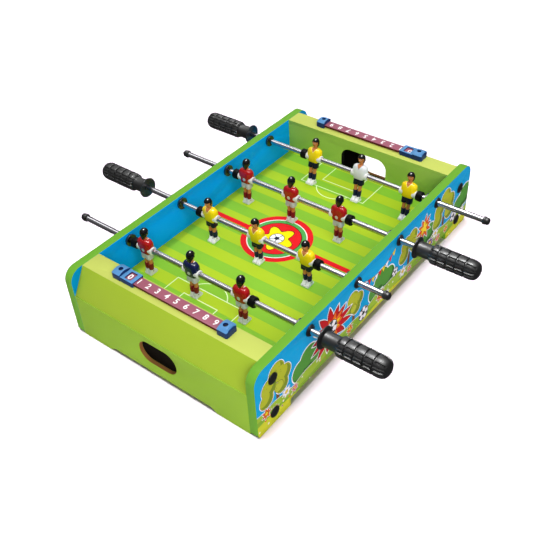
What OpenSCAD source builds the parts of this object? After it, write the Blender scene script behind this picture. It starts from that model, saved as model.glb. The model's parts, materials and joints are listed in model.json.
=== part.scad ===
// Tabletop football table: a box on four feet, four sliding and turning rods with men,
// two score counters and two end boxes for the balls.
// Frame: millimetres, origin on the floor under the middle of the box, +X across the table
// (along the rods), +Y along the table to the far end, +Z up.

/* [Table box] */
// Length of the box over both ends
table_length = 510; // [490:5:560]
// Width of the box over the two side panels
table_width = 310; // [304:2:340]
// Height of the side panels
side_height = 104; // [100:1:112]
// Thickness of the side panels
panel_thickness = 12.5; // [10:0.5:14]
// Radius of the two top corners of a side panel
corner_radius = 18; // [8:1:20]
// Radius of the two bottom corners of a side panel
foot_radius = 5; // [2:1:6]
// Length of each foot along a side panel
foot_length = 62; // [50:1:72]
// Height of the arch between the feet of a side panel
arch_height = 12; // [6:1:16]
// Radius in the corners of that arch
arch_radius = 4; // [2:0.5:5]

/* [End boxes] */
// Thickness of the shelf, the sloping board, the end panel and the tray
board_thickness = 6; // [5:0.5:7]
// Distance from the end of the table to the play side of the goal wall
end_depth = 50.6; // [48:0.2:56]
// Depth of the shelf from the play side of the goal wall
shelf_depth = 28.4; // [28:0.2:29]
// Height from the lower edge of the sloping board to the shelf top
slope_drop = 36.6; // [32:0.2:38]
// How far the foot of the sloping board stands back from the end panel's face
slope_set_back = 0.9; // [0:0.1:1.5]
// Thickness of the goal wall
goal_wall_thickness = 9; // [7:0.5:9]
// Width of the oval ball hole in the end panel
hole_width = 63; // [50:1:80]
// Height of the oval ball hole
hole_height = 35.5; // [28:0.5:36]
// Distance from the end panel's top edge down to the middle of the oval ball hole
hole_drop = 27.2; // [24:0.2:30]
// Height of the arch under the end panel
end_arch_height = 6; // [4:0.5:8]
// Width of the arch under the end panel at the floor
end_arch_width = 184; // [120:2:190]
// Run of the sloping ends of that arch
end_arch_run = 10; // [4:1:14]

/* [Playing field] */
// Thickness of the field board
field_thickness = 5; // [3:0.5:6]
// Gap between the men's feet and the field
foot_clearance = 3.1; // [1.2:0.1:4]
// Width of a goal mouth
goal_width = 80.6; // [70:0.2:100]
// Height of a goal mouth above the field
goal_height = 41.7; // [36:0.1:42]
// Radius of the two top corners of a goal mouth
goal_radius = 16; // [8:0.5:18]
// Side of the square battens under the field
batten = 12; // [10:1:12]
// Width of a corner block across the table
block_width = 20; // [16:1:24]
// Depth of a corner block along the table
block_depth = 15; // [14:0.5:15]

/* [Rods] */
// Distance of the rod axes below the top edge of the side panels
rod_drop = 11.6; // [10.6:0.2:13]
// Distance from a goal wall to the nearest rod
end_rod_gap = 52.7; // [50:0.1:56]
// Outside diameter of a rod
rod_diameter = 8; // [7:0.5:8]
// Wall of the rod's tube
rod_wall = 1; // [0.8:0.1:1.4]
// Outside diameter of the bushing sleeve in the panel
sleeve_diameter = 12; // [11:0.5:13]
// Diameter of the bushing's flange and of its outer ring
flange_diameter = 16; // [15:0.5:18]
// Thickness of the flange and of the outer ring
flange_thickness = 2.5; // [1.5:0.1:3]
// Diameter of the rubber bumpers
bumper_diameter = 15; // [14:0.5:18]
// Length of a rubber bumper
bumper_length = 9; // [7:0.5:12]
// Diameter of the end caps
cap_diameter = 11.5; // [11:0.5:15]
// Length of an end cap
cap_length = 9.5; // [7:0.5:16]
// Rod a: where it stands on its travel, from -1 at the left to 1 at the right
travel_a = -0.845; // [-1:0.005:1]
// Rod b: where it stands on its travel, from -1 at the left to 1 at the right
travel_b = -0.13; // [-1:0.005:1]
// Rod c: where it stands on its travel, from -1 at the left to 1 at the right
travel_c = -0.66; // [-1:0.005:1]
// Rod d: where it stands on its travel, from -1 at the left to 1 at the right
travel_d = 0.8; // [-1:0.005:1]
// Rod a: lean of the heads towards the far end, in degrees
lean_a = 0; // [-30:1:30]
// Rod b: lean of the heads towards the far end, in degrees
lean_b = -2; // [-30:1:30]
// Rod c: lean of the heads towards the far end, in degrees
lean_c = 2; // [-30:1:30]
// Rod d: lean of the heads towards the far end, in degrees
lean_d = 12; // [-30:1:30]

/* [Handles] */
// Diameter of the guard disc
guard_diameter = 30; // [29:0.5:36]
// Thickness of the guard disc
guard_thickness = 4; // [3:0.5:7]
// Diameter of the collar between guard and grip
collar_diameter = 20.5; // [16:0.5:22]
// Length of that collar
collar_length = 18; // [10:1:24]
// Diameter of the grip
grip_diameter = 26.5; // [24:0.5:28]
// Length of the grip with its domed end
grip_length = 67.5; // [65:0.5:80]
// Radius of the domed end's edge
dome_radius = 9; // [5:0.5:10]
// Length of the rod inside the handle
rod_in_handle = 61; // [40:1:75]
// Depth of the grooves in the grip
groove_depth = 1.8; // [0.8:0.1:2]
// Width of the ring grooves in the grip
groove_width = 1.8; // [1:0.1:2]
// Distance from the grip's start to its first ring groove
groove_start = 11; // [10:0.5:12]
// Distance between two ring grooves
groove_pitch = 12.5; // [12:0.5:13]

/* [Men] */
// Distance between two men on a rod
man_spacing = 82; // [74:1:84]
// Length of the hub that the rod runs through
hub_length = 27; // [25:0.5:28]
// Diameter of that hub
hub_diameter = 11.2; // [9.8:0.2:12]
// Width of the jersey
man_width = 24; // [20:0.5:24]
// Depth of the jersey
man_depth = 12.8; // [12.6:0.1:14]
// Diameter of the head
head_diameter = 12.4; // [10:0.2:14]
// Height of the head's middle above the rod axis
head_height = 24.5; // [23:0.5:28]
// Height of the shoulders above the rod axis
shoulder_height = 15.5; // [14:0.5:18]
// Distance of the soles below the rod axis
foot_reach = 43; // [42:0.5:44.5]
// Length of the foot block from heel to toe
foot_block = 13.6; // [10:0.2:14]
// Height of the foot block
foot_height = 4.5; // [4:0.5:7]
// Width of the foot block
foot_width = 12.6; // [9:0.2:14]
// How far the foot block stands forward of the rod axis
foot_forward = 1.3; // [0:0.1:2]
// Diameter of the neck
neck_diameter = 6.2; // [5:0.2:8]
// How far the head stands forward of the rod axis
head_forward = 1.2; // [0:0.1:2]
// Radius of the shoulders
shoulder_radius = 4.5; // [3:0.5:6]
// Width of the jersey below the sleeves
waist_width = 18.5; // [14:0.5:20]
// Height of the sleeve ends above the rod axis
sleeve_height = 2; // [1:0.5:5]
// Distance of the jersey's hem below the rod axis
jersey_hem = 6.5; // [6.5:0.5:11]
// Distance of the shorts' hem below the rod axis
shorts_hem = 16; // [15:0.5:21]
// Width of the shorts
shorts_width = 16; // [14:0.5:20]
// Depth of the shorts
shorts_depth = 11; // [9:0.5:12]
// Distance of the sock tops below the rod axis
sock_top = 25.5; // [24:0.5:30]
// Width of one thigh
thigh_width = 6.9; // [6:0.1:8]
// Depth of the thighs
thigh_depth = 8.8; // [7:0.2:10]
// Width of one sock
sock_width = 6.3; // [5.5:0.1:7]
// Depth of the socks
sock_depth = 8; // [6.4:0.2:9]
// How much the two legs merge in the middle
leg_merge = 0.4; // [0.2:0.1:1]

/* [Score counters] */
// Length of the counting rail
rail_length = 158.6; // [150:0.2:170]
// Width of the counting rail
rail_width = 15.3; // [13:0.1:16]
// Height of the rail above the shelf
rail_height = 4.2; // [4:0.1:5]
// Length of the slider
slider_length = 22; // [18:1:26]
// Height of the slider's top above the shelf
slider_height = 6.5; // [6.5:0.1:8]
// Length of an end mount along the rail
mount_length = 15; // [14:0.5:18]
// Height of an end mount above the shelf
mount_height = 10; // [7:0.1:11]
// Radius on the outer corners and on the outer top edge of a mount
mount_radius = 3; // [2:0.5:4]
// Near counter: distance of its middle from the near end of the table
score_inset_near = 37.7; // [34:0.1:38.5]
// Far counter: distance of its middle from the far end of the table
score_inset_far = 32.7; // [32.5:0.1:38.5]

/* [Screws] */
// Diameter of the covers over the panel screws
screw_cap_diameter = 16; // [12:0.5:16]
// Height of the domed covers
screw_cap_height = 3; // [1.5:0.1:4]
// Diameter of the panel screws
panel_screw = 4; // [3:0.5:4.5]
// Height of the lower panel screw above the floor
screw_low = 18.5; // [18:0.5:22]
// Height of the upper panel screw above the floor
screw_high = 76; // [60:0.5:80]
// Distance of the panel screws behind the goal wall
screw_inset = 10.1; // [6:0.1:10.4]
// Length of the panel screws
panel_screw_length = 25; // [20:1:28]
// Depth that the panel screws' heads lie below the panel's face
head_sink = 1; // [0.5:0.1:2]
// Diameter of the small screws in the men and the counters
small_screw = 3; // [2:0.2:3]

/* [Fits] */
// Radial gap where a piece is pressed or glued on
press_gap = 0.02; // [0.01:0.01:0.04]
// Radial gap of the rods in the bushings and in the bumpers
run_gap = 0.05; // [0.03:0.01:0.08]
// Gap between faces that slide past each other
face_gap = 0.3; // [0.2:0.05:0.4]
// Radial gap of the bushing sleeve in its panel hole
sleeve_gap = 0.1; // [0.05:0.05:0.2]
// Gap left between an end cap and the bushing's ring at full travel
cap_clearance = 5; // [2:0.2:6]
// Gap left between a guard disc and the bushing's ring at full travel
guard_clearance = 11.7; // [6:0.1:14]

/* [Hidden] */
$fn = 48;
half_l = table_length / 2;
half_w = table_width / 2;
inner_w = half_w - panel_thickness;
// play side of the goal walls
wall_y = half_l - end_depth;
wall_back = wall_y + goal_wall_thickness;
// end panel faces
end_in = half_l - board_thickness;
end_height = side_height - slope_drop;
hole_middle = end_height - hole_drop;
shelf_z = side_height - board_thickness;
shelf_y = wall_y + shelf_depth;
slope_y = half_l - slope_set_back;
slope_run = slope_y - shelf_y;
slope_len = sqrt(slope_run * slope_run + slope_drop * slope_drop);
// inner corner where the shelf's underside meets the sloping board's back
mitre_y = shelf_y - board_thickness * (slope_len - slope_run) / slope_drop;
// inner edge of the sloping board at its foot
slope_in = mitre_y + slope_run * (shelf_z - end_height) / slope_drop;
tray_z = end_arch_height;
rod_z = side_height - rod_drop;
field_z = rod_z - foot_reach - foot_clearance;
rod_step = (wall_y - end_rod_gap) / 1.5;
sleeve_hole = sleeve_diameter + 2 * sleeve_gap;
bore_run = rod_diameter + 2 * run_gap;
bore_press = rod_diameter + 2 * press_gap;
screw_hole = panel_screw + 2 * press_gap;
small_hole = small_screw + 2 * press_gap;
hub_end = man_spacing + hub_length / 2;
bumper_in = hub_end + face_gap;
bumper_out = bumper_in + bumper_length;
slide_limit = inner_w - flange_thickness - bumper_out - face_gap;
shift_a = travel_a * slide_limit;
shift_b = travel_b * slide_limit;
shift_c = travel_c * slide_limit;
shift_d = travel_d * slide_limit;
nut_face = half_w + flange_thickness;
cap_in = nut_face + slide_limit + cap_clearance;
cap_out = cap_in + cap_length;
cap_skin = 2;
guard_in = nut_face + slide_limit + guard_clearance;
grip_in = guard_in + guard_thickness + collar_length;
grip_out = grip_in + grip_length;
rod_end = guard_in + rod_in_handle;
screw_y = wall_back + screw_inset;
rail_half = rail_length / 2;
mount_width = rail_width + 4;
mount_in = rail_half;
rail_web = 8;
rail_flange = 2.4;
slider_half = slider_length / 2;
slider_rest = rail_half - face_gap - slider_half;
near_y = -(half_l - score_inset_near);
far_y = half_l - score_inset_far;
head_thickness = 0.75 * panel_screw;
mount_screw_x = mount_in + mount_length * 0.4;

green = [0.45, 0.72, 0.24];
lime = [0.78, 0.85, 0.38];
blue = [0.25, 0.55, 0.8];
black = [0.08, 0.08, 0.09];
steel = [0.75, 0.76, 0.78];
wood = [0.72, 0.56, 0.38];
red = [0.78, 0.12, 0.12];
yellow = [0.95, 0.8, 0.12];
mauve = [0.72, 0.42, 0.5];

// ---- helpers ----

// profile in the Y-Z plane, extruded along +X from x0
module yz(x0, len) {
  translate([x0, 0, 0])
    rotate([90, 0, 90])
      linear_extrude(len)
        children();
}

// profile in the X-Z plane, extruded along +Y from y0
module xz(y0, len) {
  translate([0, y0 + len, 0])
    rotate([90, 0, 0])
      linear_extrude(len)
        children();
}

// cylinder along +X from x0
module bar_x(x0, len, d) {
  translate([x0, 0, 0])
    rotate([0, 90, 0])
      cylinder(d = d, h = len);
}

// cylinder along +Y from y0
module bar_y(y0, len, d) {
  translate([0, y0, 0])
    rotate([-90, 0, 0])
      cylinder(d = d, h = len);
}

// waste that rounds the upper right corner of an outline, drawn from the arc's centre
module corner_waste(r) {
  difference() {
    square([r + 2, r + 2]);
    circle(r);
  }
}

module round_rect(w, d, r) {
  square([w - 2 * r, d], center = true);
  square([w, d - 2 * r], center = true);
  for (x = [-1, 1])
    for (y = [-1, 1])
      translate([x * (w / 2 - r), y * (d / 2 - r)])
        circle(r);
}

module both_x() {
  children();
  mirror([1, 0, 0])
    children();
}

module to_near() {
  mirror([0, 1, 0])
    children();
}

// ---- side panels ----

module side_profile() {
  difference() {
    translate([-half_l, 0])
      square([table_length, side_height]);
    for (m = [0, 1])
      mirror([m, 0]) {
        translate([half_l - corner_radius, side_height - corner_radius])
          corner_waste(corner_radius);
        translate([half_l - foot_radius, foot_radius])
          mirror([0, 1])
            corner_waste(foot_radius);
        for (z = [screw_low, screw_high])
          translate([screw_y, z])
            circle(d = screw_hole);
        for (k = [0.5, 1.5])
          translate([k * rod_step, rod_z])
            circle(d = sleeve_hole);
      }
    arch();
  }
}

module arch() {
  half = half_l - foot_length;
  translate([-half + arch_radius, -1])
    square([2 * half - 2 * arch_radius, arch_height + 1]);
  translate([-half, -1])
    square([2 * half, arch_height + 1 - arch_radius]);
  for (s = [-1, 1])
    translate([s * (half - arch_radius), arch_height - arch_radius])
      circle(arch_radius);
}

// the right panel; the left one is its mirror image
module side_panel() {
  difference() {
    yz(inner_w, panel_thickness)
      side_profile();
    for (y = [-screw_y, screw_y])
      for (z = [screw_low, screw_high])
        translate([0, y, z])
          bar_x(half_w - head_sink - head_thickness, 6, 2 * panel_screw + 1);
  }
}

module side_panel_left() {
  color(green)
    mirror([1, 0, 0])
      side_panel();
}

module side_panel_right() {
  color(green)
    side_panel();
}

// ---- field and end boxes ----

module playfield() {
  color(green)
    translate([-inner_w, -wall_y, field_z - field_thickness])
      cube([2 * inner_w, 2 * wall_y, field_thickness]);
}

module goal_wall() {
  xz(wall_y, goal_wall_thickness)
    difference() {
      translate([-inner_w, tray_z])
        square([2 * inner_w, shelf_z - tray_z]);
      translate([-goal_width / 2, field_z])
        square([goal_width, goal_height - goal_radius]);
      translate([-goal_width / 2 + goal_radius, field_z])
        square([goal_width - 2 * goal_radius, goal_height]);
      for (s = [-1, 1])
        translate([s * (goal_width / 2 - goal_radius), field_z + goal_height - goal_radius])
          circle(goal_radius);
    }
}

module goal_wall_near() {
  color(green)
    to_near()
      goal_wall();
}

module goal_wall_far() {
  color(green)
    goal_wall();
}

module end_top(score_y) {
  difference() {
    yz(-inner_w, 2 * inner_w)
      polygon([
        [wall_y, shelf_z],
        [mitre_y, shelf_z],
        [shelf_y, side_height],
        [wall_y, side_height]
      ]);
    for (s = [-1, 1])
      translate([s * mount_screw_x, score_y, shelf_z + 1])
        cylinder(d = small_hole, h = board_thickness);
  }
}

module end_top_near() {
  color(lime)
    to_near()
      end_top(-near_y);
}

module end_top_far() {
  color(lime)
    end_top(far_y);
}

module end_slope() {
  yz(-inner_w, 2 * inner_w)
    polygon([
      [mitre_y, shelf_z],
      [slope_in, end_height],
      [slope_y, end_height],
      [shelf_y, side_height]
    ]);
}

module end_slope_near() {
  color(lime)
    to_near()
      end_slope();
}

module end_slope_far() {
  color(lime)
    end_slope();
}

module end_panel() {
  hole_r = hole_height / 2;
  xz(end_in, board_thickness)
    difference() {
      translate([-inner_w, 0])
        square([2 * inner_w, end_height]);
      polygon([
        [-end_arch_width / 2 - end_arch_run / end_arch_height, -1],
        [end_arch_width / 2 + end_arch_run / end_arch_height, -1],
        [end_arch_width / 2 - end_arch_run, end_arch_height],
        [-end_arch_width / 2 + end_arch_run, end_arch_height]
      ]);
      translate([-hole_width / 2 + hole_r, hole_middle - hole_r])
        square([hole_width - hole_height, hole_height]);
      for (s = [-1, 1])
        translate([s * (hole_width / 2 - hole_r), hole_middle])
          circle(hole_r);
    }
}

module end_panel_near() {
  color(green)
    to_near()
      end_panel();
}

module end_panel_far() {
  color(green)
    end_panel();
}

module ball_tray() {
  translate([-inner_w, wall_back, tray_z])
    cube([2 * inner_w, end_in - wall_back, board_thickness]);
}

module ball_tray_near() {
  color(wood)
    to_near()
      ball_tray();
}

module ball_tray_far() {
  color(wood)
    ball_tray();
}

module field_battens() {
  color(wood)
    both_x()
      translate([inner_w - batten, -wall_y, field_z - field_thickness - batten])
        cube([batten, 2 * wall_y, batten]);
}

module corner_block() {
  z0 = tray_z + board_thickness;
  difference() {
    translate([inner_w - block_width, wall_back, z0])
      cube([block_width, block_depth, shelf_z - z0]);
    for (z = [screw_low, screw_high])
      translate([0, screw_y, z])
        bar_x(half_w - head_sink - panel_screw_length - 1, panel_screw_length, screw_hole);
  }
}

module corner_blocks() {
  color(wood)
    both_x() {
      corner_block();
      to_near()
        corner_block();
    }
}

// ---- bushings ----

module bushing(y) {
  translate([0, y, rod_z])
    difference() {
      union() {
        bar_x(inner_w - flange_thickness, flange_thickness, flange_diameter);
        bar_x(inner_w - 1, panel_thickness + flange_thickness + 1, sleeve_diameter);
      }
      bar_x(inner_w - flange_thickness - 1, panel_thickness + 2 * flange_thickness + 2, bore_run);
    }
}

module bushings() {
  for (k = [-1.5, -0.5, 0.5, 1.5])
    bushing(k * rod_step);
}

module bushings_left() {
  color(black)
    mirror([1, 0, 0])
      bushings();
}

module bushings_right() {
  color(black)
    bushings();
}

module bushing_rings() {
  color(black)
    both_x()
      for (k = [-1.5, -0.5, 0.5, 1.5])
        translate([0, k * rod_step, rod_z])
          difference() {
            bar_x(half_w, flange_thickness, flange_diameter);
            bar_x(half_w - 1, flange_thickness + 2, sleeve_diameter + 2 * press_gap);
          }
}

// ---- panel screws and their covers ----

module each_panel_screw() {
  both_x()
    for (y = [-screw_y, screw_y])
      for (z = [screw_low, screw_high])
        translate([0, y, z])
          children();
}

module panel_screws() {
  color(steel)
    each_panel_screw() {
      bar_x(half_w - head_sink - panel_screw_length, panel_screw_length, panel_screw);
      bar_x(half_w - head_sink - head_thickness, head_thickness, 2 * panel_screw);
    }
}

module screw_caps() {
  r = (screw_cap_diameter * screw_cap_diameter / 4 + screw_cap_height * screw_cap_height)
    / (2 * screw_cap_height);
  color(black)
    each_panel_screw()
      translate([half_w, 0, 0])
        rotate([0, 90, 0])
          rotate_extrude()
            intersection() {
              translate([0, screw_cap_height - r])
                circle(r, $fn = 240);
              square([screw_cap_diameter / 2 + 1, screw_cap_height + 1]);
            }
}

// ---- score counters ----

// T-shaped rail, standing on the shelf at the origin's height
module score_rail() {
  translate([-rail_half, 0, 0]) {
    translate([0, -rail_web / 2, 0])
      cube([rail_length, rail_web, rail_height - 0.5]);
    translate([0, -rail_width / 2, rail_height - rail_flange])
      cube([rail_length, rail_width, rail_flange]);
  }
}

module score_rail_near() {
  color(mauve)
    translate([0, near_y, side_height])
      score_rail();
}

module score_rail_far() {
  color(mauve)
    translate([0, far_y, side_height])
      score_rail();
}

module score_mount() {
  r = mount_radius;
  difference() {
    intersection() {
      linear_extrude(mount_height + 1)
        mount_outline(mount_width / 2, r);
      xz(-mount_width, 2 * mount_width)
        mount_outline(mount_height, r);
    }
    translate([mount_screw_x, 0, -1])
      cylinder(d = small_hole, h = mount_height + 2);
    translate([mount_screw_x, 0, mount_height - 3])
      cylinder(d = 2 * small_screw + 0.4, h = 4);
  }
}

// rectangle from the rail's end outwards, h to both sides, with its outer corners rounded
module mount_outline(h, r) {
  x1 = mount_in + mount_length;
  translate([mount_in, -h])
    square([mount_length - r, 2 * h]);
  translate([mount_in, -h + r])
    square([mount_length, 2 * h - 2 * r]);
  for (s = [-1, 1])
    translate([x1 - r, s * (h - r)])
      circle(r);
}

module score_mounts_near() {
  color(blue)
    translate([0, near_y, side_height])
      both_x()
        score_mount();
}

module score_mounts_far() {
  color(blue)
    translate([0, far_y, side_height])
      both_x()
        score_mount();
}

module score_screw() {
  translate([0, 0, -board_thickness + 1.5])
    cylinder(d = small_screw, h = board_thickness + mount_height - 3.5);
  translate([0, 0, mount_height - 3])
    cylinder(d = 2 * small_screw, h = 1.6);
}

module score_screws() {
  color(steel)
    for (y = [near_y, far_y])
      for (s = [-1, 1])
        translate([s * mount_screw_x, y, side_height])
          score_screw();
}

// slider that clips over the T of the rail, with a window over the digit
module score_slider() {
  difference() {
    translate([-slider_half, -mount_width / 2, face_gap])
      cube([slider_length, mount_width, slider_height - face_gap]);
    translate([-slider_half - 1, -rail_width / 2 - face_gap, rail_height - rail_flange - face_gap])
      cube([slider_length + 2, rail_width + 2 * face_gap, rail_flange + 2 * face_gap]);
    translate([-slider_half - 1, -rail_web / 2 - face_gap, -1])
      cube([slider_length + 2, rail_web + 2 * face_gap, rail_height]);
    translate([-slider_length / 4, -rail_width / 2 + 1, rail_height])
      cube([slider_length / 2, rail_width - 2, slider_height]);
  }
}

module score_slider_near() {
  color(blue)
    translate([-slider_rest, near_y, side_height])
      score_slider();
}

module score_slider_far() {
  color(blue)
    translate([slider_rest, far_y, side_height])
      score_slider();
}

// ---- rods ----

// puts a rod set in place: k counts rod steps from the middle, side 1 has its handle at +X
module on_rod(k, shift, lean, side) {
  translate([shift, k * rod_step, rod_z])
    rotate([-lean, 0, 0])
      rotate([0, 0, side > 0 ? 0 : 180])
        children();
}

module rod_tube() {
  difference() {
    bar_x(-cap_out + cap_skin + 0.2, cap_out - cap_skin - 0.2 + rod_end, rod_diameter);
    bar_x(-cap_out, cap_out + rod_end + 1, rod_diameter - 2 * rod_wall);
    for (m = [-1, 0, 1])
      translate([m * man_spacing, 0, 0])
        bar_y(-rod_diameter, 2 * rod_diameter, small_screw + 0.2);
  }
}

module handle() {
  guard_r = guard_diameter / 2;
  grip_r = grip_diameter / 2;
  collar_r = collar_diameter / 2;
  z1 = guard_thickness;
  z2 = guard_thickness + collar_length;
  z3 = z2 + grip_length;
  translate([guard_in, 0, 0])
    rotate([0, 90, 0])
      difference() {
        rotate_extrude()
          difference() {
            union() {
              square([guard_r, z1]);
              square([collar_r, z2 + 1]);
              translate([0, z2])
                square([grip_r, grip_length]);
            }
            translate([guard_r - 2, z1 - 2])
              corner_waste(2);
            translate([guard_r - 1.5, 1.5])
              mirror([0, 1])
                corner_waste(1.5);
            translate([grip_r - 3, z2 + 3])
              difference() {
                translate([0, -3.5])
                  square([4, 3.5]);
                circle(3);
              }
            translate([grip_r - dome_radius, z3 - dome_radius])
              corner_waste(dome_radius);
            for (k = [0, 1, 2, 3])
              translate([grip_r - groove_depth, z2 + groove_start + k * groove_pitch])
                square([groove_depth + 1, groove_width]);
          }
        translate([0, 0, -1])
          cylinder(d = bore_press, h = rod_in_handle + 1.5);
        for (a = [-49, -24.5, 0, 24.5, 49])
          for (s = [0, 180])
            rotate([0, 0, 90 + a + s])
              translate([grip_r - groove_depth, -groove_width / 2, z2 + 4])
                cube([groove_depth + 1, groove_width, grip_length - dome_radius - 6]);
      }
}

module end_cap() {
  r = cap_diameter / 2;
  translate([-cap_out, 0, 0])
    rotate([0, 90, 0])
      difference() {
        rotate_extrude()
          difference() {
            square([r, cap_length]);
            translate([r - 2.5, 2.5])
              mirror([0, 1])
                corner_waste(2.5);
          }
        translate([0, 0, cap_skin])
          cylinder(d = bore_press, h = cap_length);
      }
}

module bumper() {
  r = bumper_diameter / 2;
  translate([bumper_in, 0, 0])
    rotate([0, 90, 0])
      rotate_extrude()
        difference() {
          translate([bore_run / 2, 0])
            square([r - bore_run / 2, bumper_length]);
          translate([r - 1.5, bumper_length - 1.5])
            corner_waste(1.5);
          translate([r - 1.5, 1.5])
            mirror([0, 1])
              corner_waste(1.5);
        }
}

module bumpers() {
  both_x()
    bumper();
}

module jersey_front() {
  r = shoulder_radius;
  translate([-waist_width / 2, -jersey_hem])
    square([waist_width, shoulder_height - r + jersey_hem]);
  translate([-man_width / 2, sleeve_height])
    square([man_width, shoulder_height - r - sleeve_height]);
  translate([-man_width / 2 + r, sleeve_height])
    square([man_width - 2 * r, shoulder_height - sleeve_height]);
  for (s = [-1, 1])
    translate([s * (man_width / 2 - r), shoulder_height - r])
      circle(r);
}

// two legs side by side, from height z0 to z1
module legs(z0, z1, w, d, r) {
  translate([0, 0, z0])
    linear_extrude(z1 - z0)
      for (s = [-1, 1])
        translate([s * (w - leg_merge) / 2, 0])
          round_rect(w, d, r);
}

module man_body() {
  bar_x(-hub_length / 2, hub_length, hub_diameter);
  intersection() {
    xz(-man_depth / 2 - 1, man_depth + 2)
      jersey_front();
    translate([0, 0, -jersey_hem - 1])
      linear_extrude(shoulder_height + jersey_hem + 2)
        round_rect(man_width + 1, man_depth, 5);
  }
  translate([0, head_forward, head_height])
    sphere(d = head_diameter);
  translate([0, head_forward / 2, shoulder_height - 2])
    cylinder(d = neck_diameter, h = head_height - shoulder_height + 1);
  translate([0, 0, -shorts_hem])
    linear_extrude(shorts_hem - jersey_hem + 2)
      round_rect(shorts_width, shorts_depth, 3);
  legs(-sock_top, -shorts_hem + 1, thigh_width, thigh_depth, 3);
  legs(-foot_reach + foot_height - 1, -sock_top + 1, sock_width, sock_depth, 2.8);
  translate([0, foot_forward, -foot_reach])
    linear_extrude(foot_height)
      round_rect(foot_width, foot_block, 1.2);
}

// man number m (-1, 0, 1), counted from the cap's side of his rod
module man(m) {
  translate([m * man_spacing, 0, 0])
    difference() {
      man_body();
      bar_x(-hub_length, 2 * hub_length, bore_press);
      bar_y(-man_depth / 2 - 1, man_depth / 2 + 1, small_hole);
      bar_y(-man_depth / 2 - 1, 2.6, small_screw + 2.2);
    }
}

module man_screws() {
  for (m = [-1, 0, 1])
    translate([m * man_spacing, 0, 0]) {
      bar_y(-man_depth / 2 + 1.6, man_depth / 2 + 1.8, small_screw);
      bar_y(-man_depth / 2 + 0.2, 1.4, small_screw + 2);
    }
}

// ---- rod a: red men, handle at +X ----

module rod_a() {
  color(steel)
    on_rod(-1.5, shift_a, lean_a, 1)
      rod_tube();
}

module handle_a() {
  color(black)
    on_rod(-1.5, shift_a, lean_a, 1)
      handle();
}

module end_cap_a() {
  color(black)
    on_rod(-1.5, shift_a, lean_a, 1)
      end_cap();
}

module bumpers_a() {
  color(black)
    on_rod(-1.5, shift_a, lean_a, 1)
      bumpers();
}

module man_a1() {
  color(red)
    on_rod(-1.5, shift_a, lean_a, 1)
      man(-1);
}

module man_a2() {
  color(red)
    on_rod(-1.5, shift_a, lean_a, 1)
      man(0);
}

module man_a3() {
  color(red)
    on_rod(-1.5, shift_a, lean_a, 1)
      man(1);
}

module man_screws_a() {
  color(steel)
    on_rod(-1.5, shift_a, lean_a, 1)
      man_screws();
}

// ---- rod b: yellow men, handle at -X ----

module rod_b() {
  color(steel)
    on_rod(-0.5, shift_b, lean_b, -1)
      rod_tube();
}

module handle_b() {
  color(black)
    on_rod(-0.5, shift_b, lean_b, -1)
      handle();
}

module end_cap_b() {
  color(black)
    on_rod(-0.5, shift_b, lean_b, -1)
      end_cap();
}

module bumpers_b() {
  color(black)
    on_rod(-0.5, shift_b, lean_b, -1)
      bumpers();
}

module man_b1() {
  color(yellow)
    on_rod(-0.5, shift_b, lean_b, -1)
      man(-1);
}

module man_b2() {
  color(yellow)
    on_rod(-0.5, shift_b, lean_b, -1)
      man(0);
}

module man_b3() {
  color(yellow)
    on_rod(-0.5, shift_b, lean_b, -1)
      man(1);
}

module man_screws_b() {
  color(steel)
    on_rod(-0.5, shift_b, lean_b, -1)
      man_screws();
}

// ---- rod c: red men, handle at +X ----

module rod_c() {
  color(steel)
    on_rod(0.5, shift_c, lean_c, 1)
      rod_tube();
}

module handle_c() {
  color(black)
    on_rod(0.5, shift_c, lean_c, 1)
      handle();
}

module end_cap_c() {
  color(black)
    on_rod(0.5, shift_c, lean_c, 1)
      end_cap();
}

module bumpers_c() {
  color(black)
    on_rod(0.5, shift_c, lean_c, 1)
      bumpers();
}

module man_c1() {
  color(red)
    on_rod(0.5, shift_c, lean_c, 1)
      man(-1);
}

module man_c2() {
  color(red)
    on_rod(0.5, shift_c, lean_c, 1)
      man(0);
}

module man_c3() {
  color(red)
    on_rod(0.5, shift_c, lean_c, 1)
      man(1);
}

module man_screws_c() {
  color(steel)
    on_rod(0.5, shift_c, lean_c, 1)
      man_screws();
}

// ---- rod d: yellow men, handle at -X ----

module rod_d() {
  color(steel)
    on_rod(1.5, shift_d, lean_d, -1)
      rod_tube();
}

module handle_d() {
  color(black)
    on_rod(1.5, shift_d, lean_d, -1)
      handle();
}

module end_cap_d() {
  color(black)
    on_rod(1.5, shift_d, lean_d, -1)
      end_cap();
}

module bumpers_d() {
  color(black)
    on_rod(1.5, shift_d, lean_d, -1)
      bumpers();
}

module man_d1() {
  color(yellow)
    on_rod(1.5, shift_d, lean_d, -1)
      man(-1);
}

module man_d2() {
  color(yellow)
    on_rod(1.5, shift_d, lean_d, -1)
      man(0);
}

module man_d3() {
  color(yellow)
    on_rod(1.5, shift_d, lean_d, -1)
      man(1);
}

module man_screws_d() {
  color(steel)
    on_rod(1.5, shift_d, lean_d, -1)
      man_screws();
}

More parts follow.
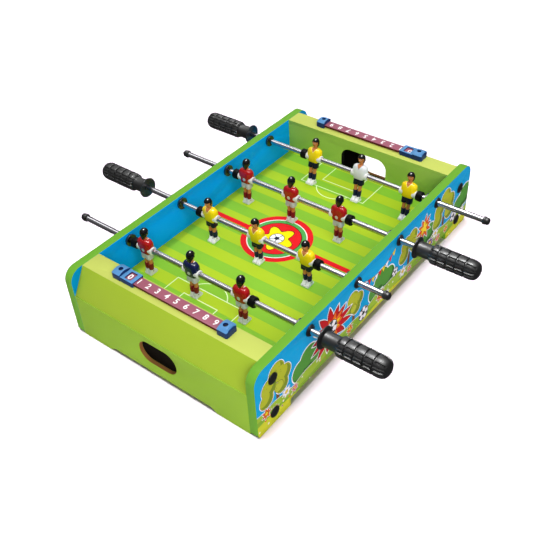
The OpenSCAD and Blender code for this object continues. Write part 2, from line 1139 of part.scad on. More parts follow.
side_panel_left();
side_panel_right();
playfield();
goal_wall_near();
goal_wall_far();
end_top_near();
end_top_far();
end_slope_near();
end_slope_far();
end_panel_near();
end_panel_far();
ball_tray_near();
ball_tray_far();
field_battens();
corner_blocks();
bushings_left();
bushings_right();
bushing_rings();
panel_screws();
screw_caps();
score_rail_near();
score_rail_far();
score_mounts_near();
score_mounts_far();
score_screws();
score_slider_near();
score_slider_far();
rod_a();
handle_a();
end_cap_a();
bumpers_a();
man_a1();
man_a2();
man_a3();
man_screws_a();
rod_b();
handle_b();
end_cap_b();
bumpers_b();
man_b1();
man_b2();
man_b3();
man_screws_b();
rod_c();
handle_c();
end_cap_c();
bumpers_c();
man_c1();
man_c2();
man_c3();
man_screws_c();
rod_d();
handle_d();
end_cap_d();
bumpers_d();
man_d1();
man_d2();
man_d3();
man_screws_d();
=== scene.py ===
import json
import math

import bmesh
import bpy
from bpy.props import FloatProperty, FloatVectorProperty, IntProperty, PointerProperty
from mathutils import Matrix, Vector

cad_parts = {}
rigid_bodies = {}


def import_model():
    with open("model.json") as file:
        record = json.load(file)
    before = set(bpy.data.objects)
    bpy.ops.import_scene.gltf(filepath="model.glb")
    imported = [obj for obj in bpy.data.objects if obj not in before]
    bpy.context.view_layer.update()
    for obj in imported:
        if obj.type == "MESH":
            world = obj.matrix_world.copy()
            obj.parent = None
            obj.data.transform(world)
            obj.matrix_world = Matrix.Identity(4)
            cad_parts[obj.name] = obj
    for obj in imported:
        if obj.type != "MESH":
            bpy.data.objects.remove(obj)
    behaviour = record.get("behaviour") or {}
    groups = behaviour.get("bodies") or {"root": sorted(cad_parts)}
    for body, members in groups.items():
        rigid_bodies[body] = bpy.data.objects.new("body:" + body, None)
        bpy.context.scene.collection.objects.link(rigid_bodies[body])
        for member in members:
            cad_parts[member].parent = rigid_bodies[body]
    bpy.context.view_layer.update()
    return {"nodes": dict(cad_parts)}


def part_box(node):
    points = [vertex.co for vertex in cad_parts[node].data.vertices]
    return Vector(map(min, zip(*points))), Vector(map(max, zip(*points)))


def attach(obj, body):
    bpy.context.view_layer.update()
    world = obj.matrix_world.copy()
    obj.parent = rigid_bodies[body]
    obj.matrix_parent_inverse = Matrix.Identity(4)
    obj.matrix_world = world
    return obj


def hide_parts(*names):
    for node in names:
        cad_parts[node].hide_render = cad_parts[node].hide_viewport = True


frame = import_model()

bl_info = {
    "name": "Tabletop football table",
    "version": (1, 0, 0),
    "blender": (4, 5, 0),
    "location": "View3D > Sidebar > Football table",
    "description": "Builds the visible pieces of a tabletop football table round its packed model",
    "category": "Object",
}

# Looks of a tabletop football table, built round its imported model. Profiles, sections and prints
# are in millimetres, and MM turns them into the metres that Blender works in.
MM = 0.001
RODS = ("a", "b", "c", "d")
HANDLE_SIDE = {"a": 1, "b": -1, "c": 1, "d": -1}
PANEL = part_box("side_panel_right")
INNER_X, OUTER_X = PANEL[0][0], PANEL[1][0]
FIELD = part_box("playfield")
SHELF_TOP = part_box("end_top_near")[1][2]


def srgb(r, g, b):
    """Linear colour of a paint chip given in the usual 0 to 255 steps."""
    out = []
    for c in (r, g, b):
        c /= 255
        out.append(c / 12.92 if c <= 0.04045 else ((c + 0.055) / 1.055) ** 2.4)
    return tuple(out)


# light levels of the studio: world, lamps in watts, suns in watts per square metre
STUDIO = {
    "horizon": 0.08, "zenith": 0.38, "overhead": 20.0, "front": 96.0, "rear": 3.4, "left": 5.0,
    "glint": 60.0, "sun": 1.3, "floor_sun": 4.4,
}
# the camera: degrees round the table, above it and of roll, metres away, lens in millimetres
CAMERA = {
    "azimuth": 38.93, "elevation": 39.266, "roll": -2.802, "distance": 1.1014, "lens": 51.9,
    "shift_x": -0.0258, "shift_y": -0.0394,
}


# ---- sizes and colours a user would change ----


def colour_prop(name, text, chip):
    return FloatVectorProperty(
        name=name, description=text, default=srgb(*chip), size=3, min=0, max=1, subtype="COLOR"
    )


def length_prop(name, text, mm):
    return FloatProperty(
        name=name, description=text, default=mm * MM, min=0, unit="LENGTH", subtype="DISTANCE"
    )


def angle_prop(name, text, degrees):
    return FloatProperty(
        name=name, description=text, default=math.radians(degrees), unit="ROTATION", subtype="ANGLE"
    )


class FoosballColours(bpy.types.PropertyGroup):
    """Paint and plastic colours, some of them darker copies that are painted shade."""

    rim: colour_prop("Rim", "Lacquer on the edges of the side panels", (107, 166, 51))
    wall: colour_prop("Inner wall", "Blue inside of the side panels", (0, 162, 255))
    # corner blue is the inner wall's blue made darker: painted shade
    corner: colour_prop("Corner blue", "Side panels past the goal walls", (0, 137, 191))
    # lime, end face, shelf and goal wall are one lime lacquer in four tones: the darker tones on the
    # slopes and end faces are painted shade
    lime: colour_prop("End boards", "Lacquer on the sloping boards", (154, 181, 50))
    end_face: colour_prop("End face", "Lacquer on the upright end boards", (142, 184, 54))
    shelf: colour_prop("Shelf", "Lacquer on the end shelves", (192, 203, 98))
    goal_wall: colour_prop("Goal wall", "Lacquer on the play side of the goal walls", (172, 208, 92))
    fibre: colour_prop("Cut edge", "Raw cut edge of the fibreboard", (140, 96, 52))
    turf_light: colour_prop("Light turf", "Light stripes of the field", (175, 204, 42))
    turf_dark: colour_prop("Dark turf", "Dark stripes of the field", (136, 193, 54))
    line: colour_prop("Field lines", "Lines printed on the field", (226, 246, 190))
    red: colour_prop("Red team", "Jerseys of the red team", (170, 15, 19))
    yellow: colour_prop("Yellow team", "Jerseys of the yellow team", (252, 220, 14))
    navy: colour_prop("Navy", "Shorts and socks of the yellow team", (14, 20, 44))
    skin: colour_prop("Skin", "Faces and knees of the men", (196, 122, 66))
    plastic: colour_prop("Black plastic", "Handles, caps and bushings", (8, 8, 9))
    counter: colour_prop("Counter blue", "Mounts and sliders of the score counters", (84, 140, 192))
    # counter sides: a darker copy of the counter blue, painted shade on the upright faces
    counter_flank: colour_prop("Counter sides", "Sides of the mounts and sliders", (22, 50, 106))
    rail: colour_prop("Rail", "Digit rail of the score counters", (156, 88, 106))
    print_strength: FloatProperty(
        name="Print strength", description="Brightness of the meadow", default=0.72, min=0.1, max=1
    )


class FoosballSizes(bpy.types.PropertyGroup):
    """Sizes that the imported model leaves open."""

    board_edge: length_prop("Board edge", "Rounding on the edges of the boards", 0.7)
    part_edge: length_prop("Part edge", "Rounding on the edges of the small mouldings", 0.6)
    digit_height: length_prop("Digit height", "Height of the digits on the counters", 8.6)
    digit_pitch: length_prop("Digit pitch", "Distance between two digits", 15.5)
    grip_length: length_prop("Grip length", "Length of the ribbed grip with its domed end", 67.5)
    bumper_length: length_prop("Bumper length", "Length of one rubber bumper", 9)
    groove: length_prop("Grip groove", "Depth of the grooves in the grips", 1.9)
    groove_pitch: length_prop("Groove pitch", "Distance between two ring grooves", 12.5)
    rail_rise: length_prop("Rail rise", "Height of rail and slider over the model", 1.2)
    line_width: length_prop("Line width", "Width of the field's white lines", 1.4)
    lean_a: angle_prop("Lean a", "Lean of the men of rod a to the far end", 0)
    lean_b: angle_prop("Lean b", "Lean of the men of rod b to the far end", -2)
    lean_c: angle_prop("Lean c", "Lean of the men of rod c to the far end", 2)
    lean_d: angle_prop("Lean d", "Lean of the men of rod d to the far end", 12)
    turn_steps: IntProperty(
        name="Turned steps", description="Segments round each turned piece", default=64, min=24, max=160
    )


def colours():
    return bpy.context.scene.foosball_colours


def sizes():
    return bpy.context.scene.foosball_sizes


# ---- bench tools: selecting, turning, growing ----


def clear():
    """Leaves edit mode and deselects everything."""
    if bpy.context.object and bpy.context.object.mode != "OBJECT":
        bpy.ops.object.mode_set(mode="OBJECT")
    bpy.ops.object.select_all(action="DESELECT")


def only(obj):
    clear()
    obj.select_set(True)
    bpy.context.view_layer.objects.active = obj


def edit(obj):
    only(obj)
    bpy.ops.object.mode_set(mode="EDIT")
    bpy.ops.mesh.select_mode(type="FACE")


def leave():
    bpy.ops.object.mode_set(mode="OBJECT")


def take_all():
    bpy.ops.mesh.select_all(action="SELECT")


def weld(threshold, whole=False):
    """Ends an edit: merges doubled points, makes flat faces whole if asked, faces outward."""
    take_all()
    bpy.ops.mesh.remove_doubles(threshold=threshold)
    if whole:
        bpy.ops.mesh.dissolve_limited(angle_limit=math.radians(0.5))
    bpy.ops.mesh.normals_make_consistent(inside=False)
    leave()


def pick(test):
    """In edit mode, selects the faces whose centre and normal pass the test."""
    mesh = bpy.context.object.data
    bm = bmesh.from_edit_mesh(mesh)
    bpy.ops.mesh.select_all(action="DESELECT")
    bm.faces.ensure_lookup_table()
    for face in bm.faces:
        face.select_set(bool(test(face.calc_center_median(), face.normal)))
    bm.select_flush(True)
    bmesh.update_edit_mesh(mesh)


def paint(obj, material, test=None):
    """Adds a material to a piece and gives it to the faces that pass the test, or to all."""
    obj.data.materials.append(material)
    slot = len(obj.data.materials) - 1
    for face in obj.data.polygons:
        if test is None or test(face.center, face.normal):
            face.material_index = slot


def smooth(obj, degrees=40):
    only(obj)
    bpy.ops.object.shade_smooth_by_angle(angle=math.radians(degrees))


def apply_modifier(obj, kind, **settings):
    only(obj)
    bpy.ops.object.modifier_add(type=kind)
    mod = obj.modifiers[-1]
    for key, value in settings.items():
        setattr(mod, key, value)
    bpy.ops.object.modifier_apply(modifier=mod.name)


def round_edges(obj, width, degrees=35, segments=2):
    apply_modifier(
        obj, "BEVEL", width=width, segments=segments, limit_method="ANGLE",
        angle_limit=math.radians(degrees), harden_normals=False, use_clamp_overlap=True,
    )


def join(name, pieces):
    clear()
    for p in pieces:
        p.select_set(True)
    bpy.context.view_layer.objects.active = pieces[0]
    if len(pieces) > 1:
        bpy.ops.object.join()
    obj = bpy.context.view_layer.objects.active
    obj.name = name
    obj.data.name = name
    return obj


def place(obj, matrix):
    obj.data.transform(matrix)
    obj.data.update()


def own_copy(obj, name):
    copy = obj.copy()
    copy.data = obj.data.copy()
    copy.name = name
    copy.data.name = name
    bpy.context.scene.collection.objects.link(copy)
    return copy


def hand_over(obj, body, slot, *nodes):
    """Gives a finished piece to its body and hides the CAD nodes that it stands for; the finish slot is
    not used.
    """
    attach(obj, body)
    if nodes:
        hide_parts(*nodes)


def turned(name, profile, steps=None):
    """Turns a profile of (place along X, radius) pairs, in millimetres, round the X axis."""
    clear()
    bpy.ops.mesh.primitive_plane_add(size=0.001)
    obj = bpy.context.active_object
    obj.name = name
    bpy.ops.object.mode_set(mode="EDIT")
    bpy.ops.mesh.select_mode(type="VERT")
    take_all()
    bpy.ops.mesh.merge(type="CENTER")
    x, r = profile[0]
    bpy.ops.transform.translate(value=(x * MM, 0, r * MM))
    for nx, nr in profile[1:]:
        bpy.ops.mesh.extrude_vertices_move(
            TRANSFORM_OT_translate={"value": ((nx - x) * MM, 0, (nr - r) * MM)}
        )
        x, r = nx, nr
    take_all()
    bpy.ops.mesh.spin(
        steps=steps or sizes().turn_steps, angle=2 * math.pi, center=(0, 0, 0), axis=(1, 0, 0)
    )
    weld(2e-6)
    return obj


def rounded(points, radius):
    """A profile with its corners between the ends rounded, by one radius or one per corner."""
    steps = 3
    out = [points[0]]
    for i in range(1, len(points) - 1):
        k = radius[i] if isinstance(radius, list) else radius
        p, a, b = Vector(points[i]), Vector(points[i - 1]), Vector(points[i + 1])
        u, v = (a - p), (b - p)
        k = min(k, u.length / 2.05, v.length / 2.05)
        if k < 0.02:
            out.append(tuple(p))
            continue
        s, e = p + u.normalized() * k, p + v.normalized() * k
        for j in range(steps + 1):
            t = j / steps
            q = s * (1 - t) ** 2 + p * 2 * t * (1 - t) + e * t * t
            out.append(tuple(q))
    out.append(points[-1])
    return out


def grown(name, sections, sides=16, boxy=0.0, mirror=1):
    """Grows a closed form upwards through sections of (z, half width, half depth) or, off the
    middle, (z, half width, half depth, x, y). mirror=-1 puts it on the other side."""
    clear()
    full = ((*section, 0, 0)[:5] for section in sections)
    sections = [(z, w, d, mirror * x, y) for z, w, d, x, y in full]
    z, w, d, x, y = sections[0]
    if boxy:
        bpy.ops.mesh.primitive_plane_add(size=2)
        obj = bpy.context.active_object
        bpy.ops.object.mode_set(mode="EDIT")
        take_all()
        bpy.ops.mesh.bevel(offset=boxy, segments=4, affect="VERTICES")
    else:
        bpy.ops.mesh.primitive_circle_add(vertices=sides, radius=1, fill_type="NGON")
        obj = bpy.context.active_object
        bpy.ops.object.mode_set(mode="EDIT")
    obj.name = name
    bpy.ops.mesh.select_mode(type="FACE")
    take_all()
    bpy.ops.transform.resize(value=(w * MM, d * MM, 1))
    bpy.ops.transform.translate(value=(x * MM, y * MM, z * MM))
    for nz, nw, nd, nx, ny in sections[1:]:
        bpy.ops.mesh.extrude_region_move(
            TRANSFORM_OT_translate={"value": ((nx - x) * MM, (ny - y) * MM, (nz - z) * MM)}
        )
        bpy.ops.transform.resize(
            value=(nw / w, nd / d, 1), center_override=(nx * MM, ny * MM, nz * MM)
        )
        z, w, d, x, y = nz, nw, nd, nx, ny
    weld(1e-6)
    return obj


def facing(side):
    """Turns a piece made for the right side to the left where side is below 0."""
    return Matrix.Rotation(0 if side > 0 else math.pi, 4, "Z")


def refinish(node, material):
    """Gives a CAD node that keeps its own shape a new finish."""
    materials = frame["nodes"][node].data.materials
    materials.clear()
    materials.append(material)


def board(node, name, whole=True):
    """A clean copy of a node's CAD mesh, with its flat faces whole again if asked."""
    obj = own_copy(frame["nodes"][node], name)
    for key in list(obj.keys()):
        del obj[key]
    obj.data.materials.clear()
    obj.parent = None
    obj.matrix_world = Matrix.Identity(4)
    edit(obj)
    weld(1e-6, whole)
    return obj


# ---- finishes ----


INK = srgb(28, 26, 24)
PAPER = srgb(250, 251, 246)
POLLEN = srgb(250, 214, 30)


class Pattern:
    """A material's node tree, with short calls for the masks and mixes that it needs."""

    def __init__(self, tree):
        self.tree = tree

    def node(self, kind, op=None, **inputs):
        n = self.tree.nodes.new(kind)
        if op:
            n.operation = op
        for key, value in inputs.items():
            self.feed(n.inputs[key.replace("_", " ")], value)
        return n

    def feed(self, socket, value):
        if isinstance(value, bpy.types.NodeSocket):
            self.tree.links.new(value, socket)
        elif hasattr(socket.default_value, "__len__") and len(socket.default_value) == 4:
            socket.default_value = (*value, 1) if len(value) == 3 else value
        else:
            socket.default_value = value

    def math(self, op, *values, clamp=False):
        n = self.node("ShaderNodeMath", op)
        n.use_clamp = clamp
        for i, v in enumerate(values):
            self.feed(n.inputs[i], v)
        return n.outputs[0]

    def add(self, a, b):
        return self.math("ADD", a, b)

    def sub(self, a, b):
        return self.math("SUBTRACT", a, b)

    def mul(self, a, b):
        return self.math("MULTIPLY", a, b)

    def absolute(self, a):
        return self.math("ABSOLUTE", a)

    def sine(self, a):
        return self.math("SINE", a)

    def cosine(self, a):
        return self.math("COSINE", a)

    def less(self, a, b):
        return self.math("LESS_THAN", a, b)

    def more(self, a, b):
        return self.math("GREATER_THAN", a, b)

    def both(self, *masks):
        out = masks[0]
        for m in masks[1:]:
            out = self.mul(out, m)
        return out

    def either(self, *masks):
        out = masks[0]
        for m in masks[1:]:
            out = self.math("MAXIMUM", out, m)
        return out

    def within(self, v, a, b):
        return self.both(self.more(v, a), self.less(v, b))

    def over(self, below, above, mask):
        """Colour above painted over colour below where the mask is 1."""
        n = self.tree.nodes.new("ShaderNodeMix")
        n.data_type = "RGBA"
        for i, v in ((0, mask), (6, below), (7, above)):
            self.feed(n.inputs[i], v)
        return n.outputs[2]

    def scaled(self, vector, factor):
        return self.node("ShaderNodeVectorMath", "SCALE", Vector=vector, Scale=factor).outputs[0]

    def split(self, vector):
        return self.node("ShaderNodeSeparateXYZ", Vector=vector).outputs

    def noise(self, scale, detail):
        co = self.node("ShaderNodeTexCoord").outputs["Object"]
        return self.node("ShaderNodeTexNoise", Vector=co, Scale=scale, Detail=detail).outputs[0]

    def group(self, tree, **inputs):
        n = self.tree.nodes.new("ShaderNodeGroup")
        n.node_tree = tree
        for key, value in inputs.items():
            self.feed(n.inputs[key], value)
        return n.outputs

    def place_mm(self):
        """Object coordinates in millimetres, as x, y and z."""
        co = self.node("ShaderNodeTexCoord")
        return self.split(self.scaled(co.outputs["Object"], 1 / MM))

    def figure_mm(self):
        """The man's own coordinates in millimetres, carried by his mesh."""
        own = self.node("ShaderNodeAttribute")
        own.attribute_name = "figure"
        return self.split(own.outputs["Vector"])

    def sheet(self, u, v):
        """Sets the printed face that the motifs are drawn on: u along it, v up."""
        self.u, self.v = u, v
        self.at = self.node("ShaderNodeCombineXYZ", X=u, Y=v).outputs[0]

    def disc(self, u, v, r):
        """Distance from a disc's rim, below 0 inside it. All shapes of the print are given so."""
        n = self.node("ShaderNodeVectorMath", "DISTANCE", Vector=self.at)
        n.inputs[1].default_value = (u, v, 0)
        return self.sub(n.outputs["Value"], r)

    def crown(self, discs, du=0.0, dv=0.0):
        out = None
        for u, v, r in discs:
            d = self.disc(u + du, v + dv, r)
            out = d if out is None else self.math("MINIMUM", out, d)
        return out

    def polar(self, u, v, squash=1.0):
        du, dv = self.sub(self.u, u), self.mul(self.sub(self.v, v), squash)
        r = self.math("SQRT", self.add(self.mul(du, du), self.mul(dv, dv)))
        return r, self.math("ARCTAN2", dv, du)

    def burst(self, r, turn, inner, outer, rays, phase=0.0):
        """A star whose rays are of uneven length."""
        wave = self.math("PINGPONG", self.add(self.mul(turn, rays / math.pi), phase), 1.0)
        swell = self.sine(self.add(self.mul(turn, 3.0), phase * 7))
        uneven = self.add(0.8, self.mul(0.2, swell))
        return self.sub(r, self.add(inner, self.mul(self.mul(wave, uneven), outer - inner)))

    def petals(self, r, turn, size, phase, count=7.0, depth=0.22):
        """A round shape with a lobe for each petal, as deep as a share of its size."""
        wave = self.cosine(self.add(self.mul(turn, count), phase))
        return self.sub(r, self.add(size * (1 - depth), self.mul(size * depth, wave)))

    def motif(self, col, d, fill, ink=0.5, rim=1.5):
        """Fills a shape, with a dark line and a white rim round it."""
        if rim:
            col = self.over(col, PAPER, self.less(d, rim))
        if ink:
            col = self.over(col, INK, self.less(d, ink))
        return self.over(col, fill, self.less(d, 0.0))

    def foliage(self, col, discs, fill, shade, ink=0.5, rim=1.5):
        """A bush or crown of leaves with its shaded side away from the sun."""
        d = self.crown(discs)
        col = self.motif(col, d, fill, ink, rim)
        away = self.both(self.less(d, -1.0), self.more(self.crown(discs, -4.5, 5.0), -1.5))
        return self.over(col, shade, away)

    def football(self, col, u, v, size, phase=0.0):
        r, turn = self.polar(u, v)
        col = self.motif(col, self.sub(r, size), srgb(250, 250, 250), 0.9, 0)
        fifth = 2 * math.pi / 5
        fold = self.sub(self.math("FLOORED_MODULO", self.add(turn, phase), fifth), fifth / 2)
        fu, fv = self.mul(r, self.cosine(fold)), self.mul(r, self.sine(fold))
        middle = self.less(fu, size * 0.28)
        side = self.less(self.distance(fu, fv, size * 0.92, 0.0), size * 0.27)
        seam = self.both(self.less(self.absolute(fv), size * 0.05), self.less(fu, size * 0.72))
        spots = self.both(self.either(middle, side, seam), self.less(r, size - 0.3))
        return self.over(col, INK, spots)

    def daisy(self, col, u, v, size, fill):
        r, turn = self.polar(u, v)
        col = self.motif(col, self.petals(r, turn, size, u), fill, size * 0.07, size * 0.2)
        return self.motif(col, self.sub(r, size * 0.34), POLLEN, size * 0.06, 0)

    def distance(self, x, y, cx, cy):
        dx, dy = self.sub(x, cx), self.sub(y, cy)
        return self.math("SQRT", self.add(self.mul(dx, dx), self.mul(dy, dy)))


def make_group(name, inputs, outputs, build):
    """Builds a shader node group once, with named sockets."""
    if name in bpy.data.node_groups:
        return bpy.data.node_groups[name]
    tree = bpy.data.node_groups.new(name, "ShaderNodeTree")
    for key, kind, value in inputs:
        socket = tree.interface.new_socket(key, in_out="INPUT", socket_type=kind)
        if value is not None:
            socket.default_value = value
    for key, kind in outputs:
        tree.interface.new_socket(key, in_out="OUTPUT", socket_type=kind)
    build(Pattern(tree), tree.nodes.new("NodeGroupInput"), tree.nodes.new("NodeGroupOutput"))
    return tree


def mottle_group():
    """Slow colour drift and fine specks, as in lacquer and moulded plastic."""

    def build(p, source, sink):
        slow, fine = p.noise(source.outputs["Scale"], 3.0), p.noise(1400.0, 1.0)
        both = p.add(p.mul(slow, 0.7), p.mul(fine, 0.3))
        bright = p.add(1.0, p.mul(p.sub(both, 0.5), source.outputs["Amount"]))
        p.feed(sink.inputs["Colour"], p.scaled(source.outputs["Colour"], bright))

    return make_group(
        "Mottle",
        [("Colour", "NodeSocketColor", (0.5, 0.5, 0.5, 1)), ("Scale", "NodeSocketFloat", 40.0),
         ("Amount", "NodeSocketFloat", 0.1)],
        [("Colour", "NodeSocketColor")],
        build,
    )


def grain_group():
    """Roughness that wanders round a middle value, and the height of a fine moulded grain."""

    def build(p, source, sink):
        fine, slow = p.noise(source.outputs["Scale"], 2.0), p.noise(70.0, 2.0)
        drift = p.mul(p.sub(slow, 0.5), source.outputs["Spread"])
        p.feed(sink.inputs["Roughness"], p.math("ADD", source.outputs["Middle"], drift, clamp=True))
        p.feed(sink.inputs["Height"], fine)

    return make_group(
        "Grain",
        [("Scale", "NodeSocketFloat", 900.0), ("Middle", "NodeSocketFloat", 0.4),
         ("Spread", "NodeSocketFloat", 0.2)],
        [("Roughness", "NodeSocketFloat"), ("Height", "NodeSocketFloat")],
        build,
    )


def finish(name, colour, rough=0.4, spread=0.15, amount=0.08, mottle=40.0, grain=900.0, bump=0.05,
           metal=0.0, gloss=0.5, ior=1.5, draw=None):
    """A procedural finish. draw(pattern, colour) may paint a print, painted shade or a painted
    highlight over the base colour.
    """
    name += "_finish"
    if name in bpy.data.materials:
        return bpy.data.materials[name]
    mat = bpy.data.materials.new(name)
    mat.use_nodes = True
    p = Pattern(mat.node_tree)
    base = tuple(colour)
    colour = draw(p, base) if draw else base
    mottled = p.group(mottle_group(), Colour=colour, Scale=mottle, Amount=amount)
    grained = p.group(grain_group(), Scale=grain, Middle=rough, Spread=spread)
    bumped = p.node("ShaderNodeBump", Strength=bump, Distance=0.0003, Height=grained["Height"])
    shader = mat.node_tree.nodes["Principled BSDF"]
    for key, value in (
        ("Base Color", mottled["Colour"]), ("Roughness", grained["Roughness"]),
        ("Normal", bumped.outputs[0]), ("Metallic", metal), ("Specular IOR Level", gloss),
        ("IOR", ior),
    ):
        p.feed(shader.inputs[key], value)
    return mat


def field_print(p, base):
    """Stripes, lines, midline and centre circle of the field."""
    c = colours()
    x, y, _ = p.place_mm()
    width = sizes().line_width / MM / 2
    pitch, shift, light_share = 39.6, 76.5, 0.497
    stripe = p.math("FRACT", p.math("DIVIDE", p.add(y, shift + 20 * pitch), pitch))
    col = p.over(tuple(c.turf_dark), tuple(c.turf_light), p.less(stripe, light_share))
    arc_x, arc_inset, arc_radius = -18.5, 14.46, 31.96
    lines = []

    def bar(v, at):
        return p.less(p.absolute(p.sub(v, at)), width)

    for goal, box_y, area_y in ((-1, -154.0, -135.5), (1, 165.5, 146.5)):
        for left, right, line_y in ((-76.3, 37.5, area_y), (-48.6, 9.5, box_y)):
            beyond = p.more(p.mul(y, goal), abs(line_y) - width)
            across = p.within(x, left - width, right + width)
            sides = p.both(p.either(bar(x, left), bar(x, right)), beyond)
            lines += [p.both(bar(y, line_y), across), sides]
        arc = p.sub(p.distance(x, y, arc_x, area_y + goal * arc_inset), arc_radius)
        within_box = p.less(p.mul(y, goal), abs(area_y))
        lines.append(p.both(p.less(p.absolute(arc), width), within_box))
    col = p.over(col, tuple(c.line), p.either(*lines))
    red, outline, patch = srgb(229, 28, 36), srgb(36, 30, 16), srgb(40, 44, 60)
    col = p.over(col, red, p.within(y, 0.4, 9.0))
    mark_x, mark_y = -17.6, 6.9
    d = p.distance(x, y, mark_x, mark_y)
    for radius, tint in ((52.3, red), (43.8, srgb(240, 243, 235)), (42.2, srgb(84, 172, 84)),
                         (36.2, srgb(30, 34, 26)), (35.0, red)):
        col = p.over(col, tint, p.less(d, radius))
    # five-lobed flower with a small ball in its middle
    turn = p.math("ARCTAN2", p.sub(y, mark_y), p.sub(x, mark_x))
    lobe = p.add(21.5, p.mul(5.5, p.cosine(p.add(p.mul(turn, 5.0), 0.6))))
    ball, hub = 10.2, 3.6
    for edge, tint in ((p.add(lobe, 1.3), outline), (lobe, srgb(253, 232, 12)), (ball + 1, outline),
                       (ball, srgb(238, 244, 248))):
        col = p.over(col, tint, p.less(d, edge))
    spot = p.less(d, p.add(hub, p.mul(0.5, p.cosine(p.mul(turn, 5.0)))))
    ray = p.less(p.absolute(p.sine(p.mul(turn, 2.5))), 0.16)
    return p.over(col, patch, p.either(spot, p.both(ray, p.within(d, hub, ball))))


BUSHES = (
    # discs of each bush: u, v and radius
    ((-172, 42, 16), (-154, 50, 19), (-136, 42, 15)), ((-8, 44, 14), (8, 56, 17), (26, 48, 16)),
    ((122, 42, 14), (138, 50, 15)), ((226, 44, 17), (244, 54, 19)),
)
TREES = (
    # middle of each trunk and discs of its crown, the last one low and in the light
    (-216, ((-236, 50, 12), (-230, 66, 14), (-216, 80, 14), (-203, 66, 13), (-207, 50, 11))),
    (-58, ((-70, 56, 10), (-60, 70, 12), (-47, 62, 11), (-52, 50, 9))),
    (80, ((66, 54, 12), (72, 70, 13), (88, 74, 12), (95, 58, 12))),
    (178, ((160, 54, 13), (164, 72, 14), (180, 84, 14), (194, 70, 14), (195, 53, 12))),
)
WHITE, ORANGE, PURPLE, PINK = (
    srgb(*chip) for chip in ((252, 252, 252), (240, 110, 30), (126, 74, 156), (238, 120, 150))
)
FLOWERS = (
    (-238, 29, 8, ORANGE), (-222, 21, 6.5, ORANGE), (-200, 31, 7.5, WHITE), (-184, 23, 6, PINK),
    (-66, 24, 7, ORANGE), (8, 27, 9.5, ORANGE), (24, 18, 6.5, WHITE), (66, 27, 8, WHITE),
    (84, 20, 6, PINK), (142, 27, 9, PURPLE), (157, 35, 7.5, WHITE), (166, 21, 6.5, PINK),
    (190, 22, 6, ORANGE), (238, 25, 8, WHITE),
)


def trees(p, col):
    """Bushes, and trees with yellow-green crowns and leaves."""
    for bush in BUSHES:
        col = p.foliage(col, bush, srgb(88, 158, 62), srgb(54, 108, 40), 0, 1.6)
    for middle, crown in TREES:
        trunk = p.both(p.within(p.u, middle - 3.0, middle + 3.0), p.within(p.v, 24.0, 52.0))
        col = p.over(col, srgb(120, 84, 40), trunk)
        col = p.foliage(col, crown, srgb(182, 192, 42), srgb(128, 150, 40))
        u, v, r = crown[-1]
        col = p.motif(col, p.disc(u - 6, v + 3, r * 0.72), srgb(190, 198, 56), 0.5, 0)
    spots = p.node("ShaderNodeTexVoronoi", Vector=p.at, Scale=0.22)
    leaf = p.both(p.less(spots.outputs["Distance"], 0.2), p.within(p.v, 40.0, 95.0))
    # leaves only where the paint below is that of a crown
    below = p.node("ShaderNodeSeparateColor", Color=col).outputs
    leaf = p.both(leaf, p.within(below[0], 0.3, 0.6), p.less(below[2], 0.1))
    return p.over(col, srgb(150, 168, 36), leaf)


